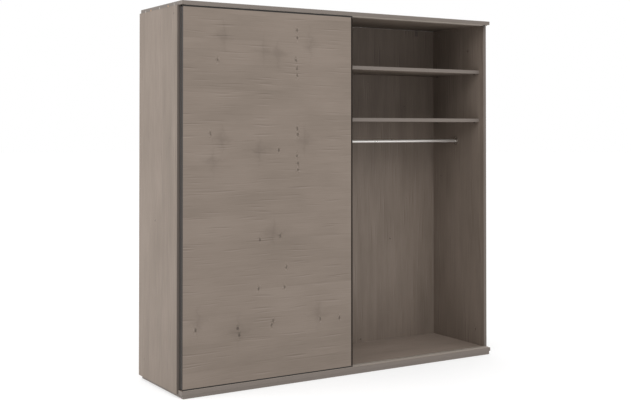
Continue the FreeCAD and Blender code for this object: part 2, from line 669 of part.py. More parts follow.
def grip_outline():
    """Section of the grip seen from above: a channel open to the front, with a tongue for the board."""
    groove_left = "tongue_depth + grip_lip"
    groove_right = "tongue_depth + grip_width - grip_wall"
    right = "tongue_depth + grip_width"
    low, high = "(door_board/2 - tongue_thick/2)", "(door_board/2 + tongue_thick/2)"
    return [("tongue_depth", "0"), (groove_left, "0"), (groove_left, "grip_groove"),
            (groove_right, "grip_groove"), (groove_right, "0"), (right, "0"), (right, "door_board"),
            ("tongue_depth", "door_board"), ("tongue_depth", high), ("0", high), ("0", low),
            ("tongue_depth", low)]


def door_panel(door):
    """Board of one door with its edge trim and its grip profile."""
    face = DOOR_FACE[door]
    node = f"{door}_door_panel"
    board_width = f"({DOOR_WIDTH} - edge_trim - grip_width)"
    left = f"({DOOR_LEFT} + edge_trim)"
    grip_left = f"({left} + {board_width})"
    board = box(node + "_box", (board_width, "door_board", DOOR_HEIGHT), (left, face, DOOR_FOOT))
    trim = f"{door}_door_edge_trim"
    keep(trim, box(trim + "_box", ("edge_trim", "door_board", DOOR_HEIGHT), (DOOR_LEFT, face, DOOR_FOOT)))
    groove_size = ("(tongue_depth + tongue_fit)", "(tongue_thick + 2*tongue_fit)", DOOR_HEIGHT)
    groove = box(node + "_groove", groove_size,
                 (f"({grip_left} - tongue_depth - tongue_fit)",
                  f"({face} + door_board/2 - tongue_thick/2 - tongue_fit)", DOOR_FOOT))
    add_cutter(node, groove)
    grip = f"{door}_door_grip"
    keep(grip, extrusion(grip, "XY_Plane", grip_outline(), DOOR_HEIGHT,
                         (f"({grip_left} - tongue_depth)", face, DOOR_FOOT)))
    return node, board


def roller(door, side, centre_x, screws):
    """Roller in the foot of a door: housing in a mortise, and the grooved wheel on its axle."""
    panel, middle = f"{door}_door_panel", DOOR_MIDDLE[door]
    node = f"{door}_door_roller_housing_{side}"
    mortise_size = ("(housing_length + 2*mortise_fit)", "(housing_width + 2*mortise_fit)", "housing_rise")
    add_cutter(panel, box(f"{node}_mortise", mortise_size,
                          (f"({centre_x} - housing_length/2 - mortise_fit)",
                           f"({middle} - housing_width/2 - mortise_fit)", DOOR_FOOT)))
    block = box(node + "_block", ("housing_length", "housing_width", "housing_rise"),
                (f"({centre_x} - housing_length/2)", f"({middle} - housing_width/2)", DOOR_FOOT))
    slot_width = "(wheel_width + 2*wheel_side_fit)"
    chamber_dia = "(wheel_dia + 2*wheel_top_fit)"
    chamber_side = f"({middle} - {slot_width}/2)"
    back = (0, 1, 0)
    add_cutter(node, rod(node + "_chamber", chamber_dia, slot_width,
                         (centre_x, chamber_side, WHEEL_LEVEL), back))
    add_cutter(node, box(node + "_mouth", (chamber_dia, slot_width, f"({WHEEL_LEVEL} - {DOOR_FOOT})"),
                         (f"({centre_x} - {chamber_dia}/2)", chamber_side, DOOR_FOOT)))
    drill(node, "axle_dia", "housing_width",
          (centre_x, f"({middle} - housing_width/2)", WHEEL_LEVEL), back)
    for way in (-1, 1):
        x = f"({centre_x} + {way}*housing_screw_reach)"
        spot = (x, f"({DOOR_FOOT} + housing_screw_rise)")
        small_screw(door, panel, node, spot, "housing_width", screws)
    finish_board(node, block)
    wheel(door, side, centre_x, middle)


def small_screw(door, panel, holder, spot, holder_width, screws):
    """Screw through the rear skin of a door into a fitting in its mortise."""
    x, z = spot
    head = (x, f"({DOOR_FACE[door]} + door_board)", z)
    into = (0, -1, 0)
    sizes = ("small_screw_head", "small_screw_dia", "small_screw_sink")
    sunk_hole(panel, head, into, "door_board/2", *sizes)
    skin = f"(door_board/2 - {holder_width}/2)"
    drill(holder, "small_screw_dia", f"small_screw - {skin}",
          (x, f"({DOOR_MIDDLE[door]} + {holder_width}/2)", z), into)
    solid = screw_solid(value("small_screw"), *(value(size) for size in sizes))
    screws.append(aimed(solid, vector(head), into))


def wheel(door, side, centre_x, middle):
    """Grooved running wheel, turned about the axle: a revolved section with a bored centre."""
    node = f"{door}_door_wheel_{side}"
    body = doc.addObject("PartDesign::Body", node + "_body")
    half, groove = "wheel_width/2", "(rib_thick/2 + groove_fit)"
    bore, run, rim = "(axle_dia/2 + axle_fit)", "wheel_run_dia/2", "wheel_dia/2"
    bevel = f"({groove} + groove_bevel)"
    outline = [(f"-{half}", bore), (half, bore), (half, rim), (bevel, rim), (groove, run),
               (f"-{groove}", run), (f"-{bevel}", rim), (f"-{half}", rim)]
    sketch = sketch_on(body, node + "_section", "XY_Plane", outline)
    turned = body.newObject("PartDesign::Revolution", node + "_turned")
    turned.Profile = sketch
    turned.ReferenceAxis = (sketch, ["H_Axis"])
    turned.Angle = 360
    body.Tip = turned
    body.Placement = FreeCAD.Placement(FreeCAD.Vector(), FreeCAD.Rotation(FreeCAD.Vector(0, 0, 1), 90))
    place(body, (centre_x, middle, WHEEL_LEVEL))
    keep(node, body)


def guide(door, side, centre_x, screws):
    """Fork at the head of a door that straddles the top rib."""
    panel, middle = f"{door}_door_panel", DOOR_MIDDLE[door]
    node = f"{door}_door_guide_{side}"
    low = f"({DOOR_HEAD} - guide_depth)"
    crown = f"({TOP_UNDER} - track_plate - guide_head_fit)"
    mortise_size = ("(guide_length + 2*mortise_fit)", "(guide_width + 2*mortise_fit)", "guide_depth")
    add_cutter(panel, box(f"{node}_mortise", mortise_size,
                          (f"({centre_x} - guide_length/2 - mortise_fit)",
                           f"({middle} - guide_width/2 - mortise_fit)", low)))
    block = box(node + "_block", ("guide_length", "guide_width", f"({crown} - {low})"),
                (f"({centre_x} - guide_length/2)", f"({middle} - guide_width/2)", low))
    fork = "(rib_thick + 2*guide_slot_fit)"
    slot_floor = f"({DOOR_HEAD} + guide_floor)"
    add_cutter(node, box(node + "_slot", ("guide_length", fork, f"({crown} - {slot_floor})"),
                         (f"({centre_x} - guide_length/2)", f"({middle} - {fork}/2)", slot_floor)))
    spot = (centre_x, f"({DOOR_HEAD} - guide_screw_depth)")
    small_screw(door, panel, node, spot, "guide_width", screws)
    finish_board(node, block)


def doors():
    """Both doors as they stand at rest, one behind the other at the left."""
    for door in ("front", "rear"):
        node, board = door_panel(door)
        right = f"({DOOR_LEFT} + {DOOR_WIDTH})"
        screws, axles = [], []
        for side, end, way in (("left", DOOR_LEFT, 1), ("right", right, -1)):
            wheel_x = f"({end} + {way}*roller_inset)"
            roller(door, side, wheel_x, screws)
            guide(door, side, f"({end} + {way}*guide_inset)", screws)
            start = vector((wheel_x, f"({DOOR_MIDDLE[door]} - housing_width/2)", WHEEL_LEVEL))
            axles.append(Part.makeCylinder(value("axle_dia/2"), value("housing_width"), start,
                                           FreeCAD.Vector(0, 1, 0)))
        group(f"{door}_door_axles", axles)
        group(f"{door}_door_screws", screws)
        finish_board(node, board)


def check_and_write():
    """Refuse any failed feature or bad shape, then write one STEP file for each sub-part."""
    doc.recompute()
    failed = [obj.Name for obj in doc.Objects if {"Invalid", "Error"} & set(obj.State)]
    if failed:
        raise RuntimeError("features that failed: " + ", ".join(failed))
    for node, obj in parts.items():
        if obj.Shape.isNull() or not obj.Shape.isValid() or not obj.Shape.Solids:
            raise RuntimeError("no valid solid in " + node)
    os.makedirs("parts", exist_ok=True)
    for node, obj in parts.items():
        obj.Shape.exportStep(f"parts/{node}.step")
        print(f"{node}: {len(obj.Shape.Solids)} solid(s), {obj.Shape.Volume / 1000:.1f} cm3")
    print(len(parts), "nodes")


# Hardware comes first, because it names the holes that the boards are then cut with.
carcass_joints()
shelves()
wall_brackets()
clothes_rails()
tracks()
backs()
doors()
base()
top()
uprights()
check_and_write()
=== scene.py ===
import logging
import math
from collections.abc import Iterable
from dataclasses import dataclass
from enum import Enum

import bmesh
import bpy
from mathutils import Euler, Matrix, Vector


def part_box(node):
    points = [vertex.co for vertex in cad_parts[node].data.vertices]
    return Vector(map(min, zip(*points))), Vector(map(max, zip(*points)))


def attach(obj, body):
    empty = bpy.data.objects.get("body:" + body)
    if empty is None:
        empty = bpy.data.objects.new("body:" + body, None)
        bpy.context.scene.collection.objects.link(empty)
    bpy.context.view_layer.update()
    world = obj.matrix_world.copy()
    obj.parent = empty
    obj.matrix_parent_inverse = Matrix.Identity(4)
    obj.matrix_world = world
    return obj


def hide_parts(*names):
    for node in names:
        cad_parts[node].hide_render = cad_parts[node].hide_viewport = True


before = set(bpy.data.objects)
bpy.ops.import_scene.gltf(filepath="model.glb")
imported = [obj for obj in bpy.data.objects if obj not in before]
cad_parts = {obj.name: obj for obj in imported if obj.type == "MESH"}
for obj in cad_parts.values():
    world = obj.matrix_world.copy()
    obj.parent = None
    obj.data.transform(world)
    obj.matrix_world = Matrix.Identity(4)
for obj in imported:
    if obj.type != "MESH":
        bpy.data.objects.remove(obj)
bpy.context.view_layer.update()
LOG = logging.getLogger("wardrobe")

MM = 0.001
FULL_TURN = 2 * math.pi
LOOSE = 1e-6

Tree = bpy.types.NodeTree
Socket = bpy.types.NodeSocket
Shape = bmesh.types.BMesh


class Grain(Enum):
    """Which axes run along the grain, across it on the face, and through the board."""

    LENGTHWAYS_UPRIGHT = ("X", "Z", "Y")
    UPRIGHT_ON_SIDE = ("Z", "Y", "X")
    UPRIGHT_ON_BACK = ("Z", "X", "Y")
    LENGTHWAYS_FLAT = ("X", "Y", "Z")


class Axis(Enum):
    """Directions that turned and drawn pieces run along."""

    X = Vector((1, 0, 0))
    Y = Vector((0, 1, 0))
    Z = Vector((0, 0, 1))


def linear(hex_colour: str) -> tuple[float, float, float, float]:
    """Turn an sRGB hex colour into linear RGBA.

    Args:
        hex_colour: Colour such as "#8A7E74".

    Returns:
        Linear red, green and blue, and an alpha of 1.
    """
    parts = [int(hex_colour[i : i + 2], 16) / 255 for i in (1, 3, 5)]
    curve = [p / 12.92 if p <= 0.04045 else ((p + 0.055) / 1.055) ** 2.4 for p in parts]
    return (*curve, 1.0)


def add_node(tree: Tree, kind: str, inputs: dict | None = None, **settings) -> bpy.types.Node:
    """Add one node with its settings, its set values and its links.

    Args:
        tree: Node tree that gets the node.
        kind: Blender's name for the shader node type, without its prefix.
        inputs: Input name or number, with the value to set, or the socket or node to link from. A node is
            linked from its first output.
        **settings: Properties of the node.

    Returns:
        The new node.
    """
    node = tree.nodes.new(f"ShaderNode{kind}")
    for name, setting in settings.items():
        setattr(node, name, setting)
    for key, value in (inputs or {}).items():
        if isinstance(value, bpy.types.Node):
            value = value.outputs[0]
        if isinstance(value, Socket):
            tree.links.new(value, node.inputs[key])
        else:
            node.inputs[key].default_value = value
    return node


def new_material(name: str) -> tuple[bpy.types.Material, Tree]:
    """Make an empty node material.

    Args:
        name: Name of the finish.

    Returns:
        The material and its node tree, with nothing in it.
    """
    material = bpy.data.materials.new(name)
    material.use_nodes = True
    material.node_tree.nodes.clear()
    return material, material.node_tree


def set_ramp(node: bpy.types.Node, stops: Iterable[tuple[float, str]]) -> None:
    """Give a colour ramp its stops.

    Args:
        node: Colour ramp node.
        stops: Place from 0 to 1 and sRGB hex colour of each stop.
    """
    elements = node.color_ramp.elements
    while len(elements) > 1:
        elements.remove(elements[-1])
    for n, (place, colour) in enumerate(stops):
        element = elements[0] if n == 0 else elements.new(place)
        element.position = place
        element.color = linear(colour)


# ---------------------------------------------------------------- finishes


@dataclass(frozen=True)
class Mark:
    """Middle of one knot or smudge on a board, from the board's lower left corner, in mm."""

    along: float
    up: float


@dataclass(frozen=True)
class WashedPine:
    """Pine decor foil with a grey wash, pressed on board and embossed along its grain.

    The wash lies pale in the early wood and leaves the late wood's lines darker, planks differ a little in
    tone, and small knots push the lines aside. The foil is matt, and a little smoother along the lines.
    """

    name: str
    grain: Grain
    plank_mm: float = 140.0
    line_mm: float = 11.0
    fibre_mm: float = 2.4
    dash_mm: float = 7.0
    dash_per_m: float = 4.2
    dash_from: float = 0.69
    dash_full: float = 0.82
    shift_m: tuple[float, float, float] = (0.0, 0.0, 0.0)
    knots: tuple[Mark, ...] = ()
    smudges: tuple[Mark, ...] = ()
    mark_origin: tuple[float, float] = (0.0, 0.0)
    knot_mm: float = 14.0
    knot_squeeze: float = 1.7
    knot_bend: float = 3.2
    fray_per_m: float = 70.0
    joint_mm: float = 1.1
    crumb_mm: float = 11.0
    smudge_mm: float = 70.0
    scattered_knots: float = 1.0
    streaks: float = 1.0
    streak_mm: float = 16.0
    deep: str = "#5A5048"
    low: str = "#6C6157"
    middle: str = "#786C62"
    pale: str = "#867A70"
    emboss: float = 0.16
    edging: str = "#6B645F"
    mark: str = "#32271F"

    def build(self) -> bpy.types.Material:
        """Make the foil's material.

        Returns:
            The finished material.
        """
        material, tree = new_material(self.name)
        along, across, through = self._board_axes(tree)
        plank, joint = self._planks(tree, along, across)
        flow, warped = self._flow(tree, along, across, through, plank)
        knot, halo, crumb = self._knots(tree, along, across, plank)
        smudge = self._smudges(tree, along, across)
        rings = self._rings(tree, warped, halo, flow)
        streak, fibre = self._fibres(tree, along, warped, through, plank)
        dash = self._dashes(tree, along, warped, through, 0.0)
        # Painted highlight: the dashes moved across the grain, added pale to the tone as a glint on each dark
        # dash's lip.
        painted_glint = self._dashes(tree, along, warped, through, 0.9 * self.dash_mm)
        tone = self._add_up(
            tree, 0.5, (plank, 0.05), (flow, 0.3), (rings, 0.02), (streak, 0.13 * self.streaks), (fibre, 0.1),
            (crumb, 1.1),
        )
        # The painted highlight brightens the tone without lowering its mean.
        tone = self._add_up(tree, tone, (painted_glint, 0.15), centred=False)
        dark = self._add_up(
            tree, 0.0, (knot, 0.55), (smudge, 0.22), (dash, 0.26), (joint, 0.19), centred=False
        )
        self._finish(tree, tone, dark, joint, rings, fibre)
        return material

    def _board_axes(self, tree: Tree) -> tuple[Socket, ...]:
        """Read the board's own directions from the object's coordinates, shifted for this board."""
        place = add_node(tree, "TexCoord")
        moved = add_node(tree, "Mapping", {"Vector": place.outputs["Object"], "Location": self.shift_m})
        split = add_node(tree, "SeparateXYZ", {0: moved})
        return tuple(split.outputs[axis] for axis in self.grain.value)

    def _planks(self, tree: Tree, along: Socket,
                across: Socket) -> tuple[Socket, ...]:
        """Number the planks across the board, and find the fine line where two meet.

        Returns:
            A random value for each plank, and the line's mask.
        """
        count = add_node(tree, "Math", {0: across, 1: self.plank_mm * MM}, operation="DIVIDE")
        index = add_node(tree, "Math", {0: count}, operation="FLOOR")
        chance = add_node(tree, "TexWhiteNoise", {"W": index}, noise_dimensions="1D")
        edge = add_node(tree, "Math", {0: count, 1: 0.5}, operation="PINGPONG")
        line = add_node(
            tree, "MapRange", {0: edge, 1: 0.0, 2: self.joint_mm / self.plank_mm, 3: 1.0, 4: 0.0},
            interpolation_type="SMOOTHSTEP",
        )
        spot = add_node(tree, "CombineXYZ", {0: along, 1: index})
        fading = add_node(tree, "TexNoise", {"Vector": spot, "Scale": 3.7, "Detail": 1.0})
        shown = add_node(tree, "MapRange", {0: fading, 1: 0.42, 2: 0.6, 3: 0.0, 4: 1.0})
        faded = add_node(tree, "Math", {0: line, 1: shown}, operation="MULTIPLY")
        return chance.outputs["Value"], faded.outputs[0]

    def _flow(self, tree: Tree, along: Socket, across: Socket,
              through: Socket, plank: Socket) -> tuple[Socket, ...]:
        """Let the grain wander: slow waves along the board that differ from plank to plank.

        Returns:
            The slow wave, and the place across the grain after it.
        """
        long_way = add_node(tree, "Math", {0: plank, 1: 9.0, 2: along}, operation="MULTIPLY_ADD")
        point = add_node(tree, "CombineXYZ", {0: long_way, 1: across, 2: through})
        stretched = add_node(
            tree, "VectorMath", {0: point, 1: (2.6, 6.0, 6.0)}, operation="MULTIPLY"
        )
        wave = add_node(
            tree, "TexNoise", {"Vector": stretched, "Scale": 1.0, "Detail": 2.0, "Roughness": 0.45}
        )
        warped = add_node(tree, "Math", {0: wave, 1: 0.035, 2: across}, operation="MULTIPLY_ADD")
        return wave.outputs[0], warped.outputs[0]

    def _knots(self, tree: Tree, along: Socket, across: Socket,
               plank: Socket) -> tuple[Socket, ...]:
        """Place the knots: the board's own named ones, and scattered ones, about one to each cell of a plank.

        Returns:
            The dark heart's mask, a soft halo in which the grain lines bend round it, and the crumbled grain
            in that halo, 0.5 elsewhere.
        """
        cell = Vector((0.62, self.plank_mm * MM, 1.0))
        long_way = add_node(tree, "Math", {0: plank, 1: 5.0, 2: along}, operation="MULTIPLY_ADD")
        flat = add_node(tree, "CombineXYZ", {0: long_way, 1: across})
        scaled = add_node(tree, "VectorMath", {0: flat, 1: cell}, operation="DIVIDE")
        cells = add_node(
            tree, "TexVoronoi", {"Vector": scaled, "Scale": 1.0, "Randomness": 0.75},
            voronoi_dimensions="2D",
        )
        away = add_node(
            tree, "VectorMath", {0: scaled, 1: cells.outputs["Position"]}, operation="SUBTRACT"
        )
        away = add_node(tree, "VectorMath", {0: away, 1: cell}, operation="MULTIPLY")
        distance = add_node(tree, "VectorMath", {0: away}, operation="LENGTH")
        lot = add_node(tree, "SeparateXYZ", {0: cells.outputs["Color"]})
        size = add_node(
            tree, "MapRange",
            {0: lot, 1: 0.45, 2: 1.0, 3: 0.0001, 4: self.knot_mm * MM * self.scattered_knots},
        )
        nearest = add_node(tree, "Math", {0: distance.outputs["Value"], 1: size}, operation="DIVIDE")
        own = self._nearest(tree, along, across, self.knots, self.knot_mm, nearest.outputs[0])
        ragged = self._ragged(tree, along, across, self.fray_per_m, own)
        heart = add_node(
            tree, "MapRange", {0: ragged, 1: 0.35, 2: 1.0, 3: 1.0, 4: 0.0},
            interpolation_type="SMOOTHSTEP",
        )
        halo = add_node(
            tree, "MapRange", {0: own, 1: 0.4, 2: 3.0, 3: 1.0, 4: 0.0}, interpolation_type="SMOOTHSTEP"
        )
        grit = add_node(
            tree, "TexNoise", {"Vector": flat, "Scale": 1 / (self.crumb_mm * MM), "Detail": 2.0}
        )
        crumb = add_node(tree, "Mix", {0: halo, 2: 0.5, 3: grit})
        return heart.outputs[0], halo.outputs[0], crumb.outputs[0]

    def _nearest(self, tree: Tree, along: Socket, across: Socket,
                 marks: tuple[Mark, ...], radius_mm: float, nearest: Socket) -> Socket:
        """Find how near the closest mark is, counted in its radius. Marks stand taller than they are wide.

        Args:
            tree: Node tree.
            along: Place along the grain.
            across: Place across the grain.
            marks: Middles of the marks.
            radius_mm: Half the height of one mark.
            nearest: Nearness known so far.

        Returns:
            The lesser of that nearness and the marks' own.
        """
        spot = add_node(tree, "CombineXYZ", {0: along, 1: across})
        flat = add_node(tree, "VectorMath", {0: spot, 1: (self.knot_squeeze, 1.0, 0.0)}, operation="MULTIPLY")
        for mark in marks:
            place, height = self._middle(mark)
            middle = (place * self.knot_squeeze, height, 0.0)
            far = add_node(tree, "VectorMath", {0: flat, 1: middle}, operation="DISTANCE")
            near = add_node(tree, "Math", {0: far.outputs["Value"], 1: radius_mm * MM}, operation="DIVIDE")
            nearest = add_node(
                tree, "Math", {0: nearest, 1: near}, operation="MINIMUM"
            ).outputs[0]
        return nearest

    def _middle(self, mark: Mark, offset_mm: float = 0.0) -> tuple[float, float]:
        """Place of a mark along and across the grain, in the shifted board's coordinates."""
        return (
            self.mark_origin[0] + self.shift_m[0] + (mark.along + offset_mm) * MM,
            self.mark_origin[1] + self.shift_m[2] + (mark.up + offset_mm) * MM,
        )

    def _ragged(self, tree: Tree, along: Socket, across: Socket,
                scale: float, nearness: Socket) -> Socket:
        """Fray a mark's outline with noise, so that it is torn and never round."""
        point = add_node(tree, "CombineXYZ", {0: along, 1: across})
        noise = add_node(tree, "TexNoise", {"Vector": point, "Scale": scale, "Detail": 3.0})
        frayed = add_node(tree, "Math", {0: noise, 1: 2.6, 2: -0.3}, operation="MULTIPLY_ADD")
        return add_node(tree, "Math", {0: nearness, 1: frayed}, operation="MULTIPLY").outputs[0]

    def _smudges(self, tree: Tree, along: Socket,
                 across: Socket) -> Socket | float:
        """Draw the flame-shaped smudges: large knots whose swirled grain tapers off in four ragged points.

        Returns:
            The smudges' mask, or 0 where the board has none.
        """
        spot = add_node(tree, "CombineXYZ", {0: along, 1: across})
        fray = add_node(tree, "TexNoise", {"Vector": spot, "Scale": 22.0, "Detail": 2.0})
        frayed = add_node(
            tree, "VectorMath",
            {0: fray.outputs["Color"], 1: (self.smudge_mm * MM,) * 3, 2: spot}, operation="MULTIPLY_ADD",
        )
        root = math.sqrt(self.smudge_mm * MM)
        total: Socket | float = 0.0
        for mark in self.smudges:
            middle = (*self._middle(mark, self.smudge_mm / 2), 0.0)
            away = add_node(tree, "VectorMath", {0: frayed, 1: middle}, operation="SUBTRACT")
            away = add_node(tree, "VectorMath", {0: away}, operation="ABSOLUTE")
            split = add_node(tree, "SeparateXYZ", {0: away})
            roots = [add_node(tree, "Math", {0: split.outputs[axis]}, operation="SQRT") for axis in "XY"]
            reach = add_node(tree, "Math", {0: roots[0], 1: roots[1]}, operation="ADD")
            mask = add_node(
                tree, "MapRange",
                {0: reach, 1: 0.3 * root, 2: 1.6 * root, 3: 1.0, 4: 0.0}, interpolation_type="SMOOTHSTEP",
            )
            total = add_node(tree, "Math", {0: mask, 1: total}, operation="MAXIMUM").outputs[0]
        return total

    def _rings(self, tree: Tree, warped: Socket, halo: Socket,
               flow: Socket) -> Socket:
        """Draw the late wood's lines, a real line spacing apart, bent by the halo of each knot."""
        count = add_node(tree, "Math", {0: warped, 1: FULL_TURN / (self.line_mm * MM)}, operation="MULTIPLY")
        bent = add_node(tree, "Math", {0: halo, 1: self.knot_bend * math.pi, 2: count},
                        operation="MULTIPLY_ADD")
        drawn = add_node(tree, "Math", {0: flow, 1: 16.0, 2: bent}, operation="MULTIPLY_ADD")
        wave = add_node(tree, "Math", {0: drawn}, operation="SINE")
        raised = add_node(tree, "Math", {0: wave, 1: 0.5, 2: 0.5}, operation="MULTIPLY_ADD")
        late = add_node(tree, "Math", {0: raised, 1: 2.5}, operation="POWER")
        return late.outputs[0]

    def _fibres(self, tree: Tree, along: Socket, warped: Socket,
                through: Socket, plank: Socket) -> tuple[Socket, ...]:
        """Draw broad streaks and fine fibres, all long and narrow.

        Returns:
            The streaks' noise and the fibres' noise, each about 0.5.
        """
        long_way = add_node(tree, "Math", {0: plank, 1: 13.0, 2: along}, operation="MULTIPLY_ADD")
        point = add_node(tree, "CombineXYZ", {0: long_way, 1: warped, 2: through})
        per_streak = 1 / (self.streak_mm * MM)
        broad = add_node(
            tree, "VectorMath", {0: point, 1: (2.2, per_streak, per_streak)}, operation="MULTIPLY"
        )
        streak = add_node(
            tree, "TexNoise", {"Vector": broad, "Scale": 1.0, "Detail": 3.0, "Roughness": 0.62}
        )
        per_fibre = 1 / (self.fibre_mm * MM)
        fine = add_node(
            tree, "VectorMath", {0: point, 1: (14.0, per_fibre, per_fibre)}, operation="MULTIPLY"
        )
        fibre = add_node(
            tree, "TexNoise", {"Vector": fine, "Scale": 1.0, "Detail": 2.0, "Roughness": 0.55}
        )
        return streak.outputs[0], fibre.outputs[0]

    def _dashes(self, tree: Tree, along: Socket, warped: Socket,
                through: Socket, lift_mm: float) -> Socket:
        """Scatter thin dashes, the pores and tears of brushed pine, a hand's breadth long.

        Args:
            tree: Node tree.
            along: Place along the grain.
            warped: Place across the wandering grain.
            through: Place through the board.
            lift_mm: How far the dashes are moved across the grain, for the painted highlight on the lip
                beside each dark one.

        Returns:
            The dashes' mask.
        """
        lifted = add_node(tree, "Math", {0: warped, 1: lift_mm * MM}, operation="ADD")
        point = add_node(tree, "CombineXYZ", {0: along, 1: lifted, 2: through})
        per_dash = 1 / (self.dash_mm * MM)
        thin = add_node(
            tree, "VectorMath", {0: point, 1: (self.dash_per_m, per_dash, per_dash)}, operation="MULTIPLY"
        )
        short = add_node(tree, "TexNoise", {"Vector": thin, "Scale": 1.0, "Detail": 0.0})
        return add_node(
            tree, "MapRange", {0: short, 1: self.dash_from, 2: self.dash_full, 3: 0.0, 4: 1.0}
        ).outputs[0]

    def _add_up(self, tree: Tree, start: Socket | float,
                *shares: tuple[Socket, float], centred: bool = True) -> Socket:
        """Add up patterns, each with its share.

        Args:
            tree: Node tree.
            start: Value that the sum starts from.
            *shares: Each pattern with its share.
            centred: Whether each pattern is counted from its middle, 0.5, and so leaves the mean as it is.

        Returns:
            The sum.
        """
        total = start - sum(share for _, share in shares) / 2 if centred else start
        for source, share in shares:
            total = add_node(
                tree, "Math", {0: source, 1: share, 2: total}, operation="MULTIPLY_ADD"
            ).outputs[0]
        return total

    def _edging(self, tree: Tree) -> Socket:
        """Find the board's narrow faces, which carry the greyer edging strip."""
        facing = add_node(tree, "NewGeometry")
        split = add_node(tree, "SeparateXYZ", {0: facing.outputs["True Normal"]})
        flat = add_node(tree, "Math", {0: split.outputs[self.grain.value[2]]}, operation="ABSOLUTE")
        return add_node(tree, "Math", {0: flat, 1: 0.5}, operation="LESS_THAN").outputs[0]

    def _finish(self, tree: Tree, tone: Socket, dark: Socket,
                joint: Socket, rings: Socket, fibre: Socket) -> None:
        """Colour the foil and its edging, darken knots, dashes and plank lines, and emboss it."""
        ramp = add_node(tree, "ValToRGB", {0: tone})
        set_ramp(ramp, ((0.1, self.deep), (0.36, self.low), (0.52, self.middle), (0.75, self.pale)))
        strip = add_node(tree, "Math", {0: self._edging(tree), 1: 0.75}, operation="MULTIPLY")
        edged = add_node(
            tree, "Mix", {0: strip, 6: ramp, 7: linear(self.edging)}, data_type="RGBA"
        )
        bare = add_node(tree, "Math", {0: 1.0, 1: strip}, operation="SUBTRACT")
        marked = add_node(tree, "Math", {0: dark, 1: bare}, operation="MULTIPLY")
        colour = add_node(
            tree, "Mix", {0: marked, 6: edged.outputs[2], 7: linear(self.mark)},
            data_type="RGBA",
        )
        relief = add_node(tree, "Math", {0: fibre, 1: 0.6, 2: rings}, operation="MULTIPLY_ADD")
        sunk = add_node(tree, "Math", {0: joint, 1: -1.5, 2: relief}, operation="MULTIPLY_ADD")
        bump = add_node(tree, "Bump", {"Height": sunk, "Strength": self.emboss, "Distance": 0.5 * MM})
        rough = add_node(tree, "MapRange", {0: fibre, 1: 0.3, 2: 0.7, 3: 0.68, 4: 0.54})
        shader = add_node(
            tree, "BsdfPrincipled",
            {"Base Color": colour.outputs[2], "Roughness": rough, "Normal": bump,
             "Specular IOR Level": 0.35},
        )
        add_node(tree, "OutputMaterial", {0: shader})


@dataclass(frozen=True)
class BackBoard:
    """Thin fibreboard with the pine foil on its front and bare brown pressed fibre on its rear."""

    name: str
    face: WashedPine
    fibre_dark: str = "#6E5338"
    fibre_pale: str = "#8D6D4B"

    def build(self) -> bpy.types.Material:
        """Make the two-sided board: the foil's own shader in front, pressed fibre where it faces the rear.

        Returns:
            The finished material.
        """
        material = self.face.build()
        material.name = self.name
        tree = material.node_tree
        output = next(n for n in tree.nodes if n.type == "OUTPUT_MATERIAL")
        foil = output.inputs[0].links[0].from_socket
        place = add_node(tree, "TexCoord")
        clumps = add_node(
            tree, "TexNoise",
            {"Vector": place.outputs["Object"], "Scale": 1 / (6 * MM), "Detail": 4.0, "Roughness": 0.7},
        )
        ramp = add_node(tree, "ValToRGB", {0: clumps})
        set_ramp(ramp, ((0.3, self.fibre_dark), (0.7, self.fibre_pale)))
        screen = add_node(tree, "Bump", {"Height": clumps, "Strength": 0.5, "Distance": 0.0005})
        rear = add_node(
            tree, "BsdfPrincipled",
            {"Base Color": ramp, "Roughness": 0.85, "Normal": screen},
        )
        facing = add_node(tree, "NewGeometry")
        split = add_node(tree, "SeparateXYZ", {0: facing.outputs["True Normal"]})
        behind = add_node(tree, "Math", {0: split.outputs["Y"], 1: 0.5}, operation="GREATER_THAN")
        mixed = add_node(tree, "MixShader", {0: behind, 1: foil, 2: rear})
        tree.links.new(mixed.outputs[0], output.inputs[0])
        return material


@dataclass(frozen=True)
class DrawnMetal:
    """Metal drawn or rolled along one axis: fine lines run that way, and gloss spreads across them."""

    name: str
    along: Axis
    colour: str
    roughness: float = 0.32
    metallic: float = 1.0
    line_mm: float = 0.5
    line_depth: float = 0.10
    tone: float = 0.12

    def build(self) -> bpy.types.Material:
        """Make the drawn metal.

        Returns:
            The finished material.
        """
        material, tree = new_material(self.name)
        place = add_node(tree, "TexCoord")
        across = 1 / (self.line_mm * MM)
        stretch = Vector((across, across, across)) - self.along.value * (across - 3.0)
        scaled = add_node(tree, "VectorMath", {0: place.outputs["Object"], 1: stretch}, operation="MULTIPLY")
        lines = add_node(
            tree, "TexNoise", {"Vector": scaled, "Scale": 1.0, "Detail": 3.0, "Roughness": 0.6}
        )
        handled = add_node(
            tree, "TexNoise", {"Vector": place.outputs["Object"], "Scale": 9.0, "Detail": 3.0}
        )
        base = linear(self.colour)
        dark = [c * (1 - self.tone) for c in base[:3]] + [1.0]
        colour = add_node(tree, "Mix", {0: lines, 6: dark, 7: base}, data_type="RGBA")
        rough = add_node(
            tree, "MapRange",
            {0: handled, 1: 0.3, 2: 0.7, 3: self.roughness * 0.85, 4: self.roughness * 1.2},
        )
        bump = add_node(
            tree, "Bump",
            {"Height": lines, "Strength": self.line_depth, "Distance": 0.0002},
        )
        shader = add_node(
            tree, "BsdfPrincipled",
            {"Base Color": colour.outputs[2], "Metallic": self.metallic, "Roughness": rough,
             "Normal": bump},
        )
        add_node(tree, "OutputMaterial", {0: shader})
        return material


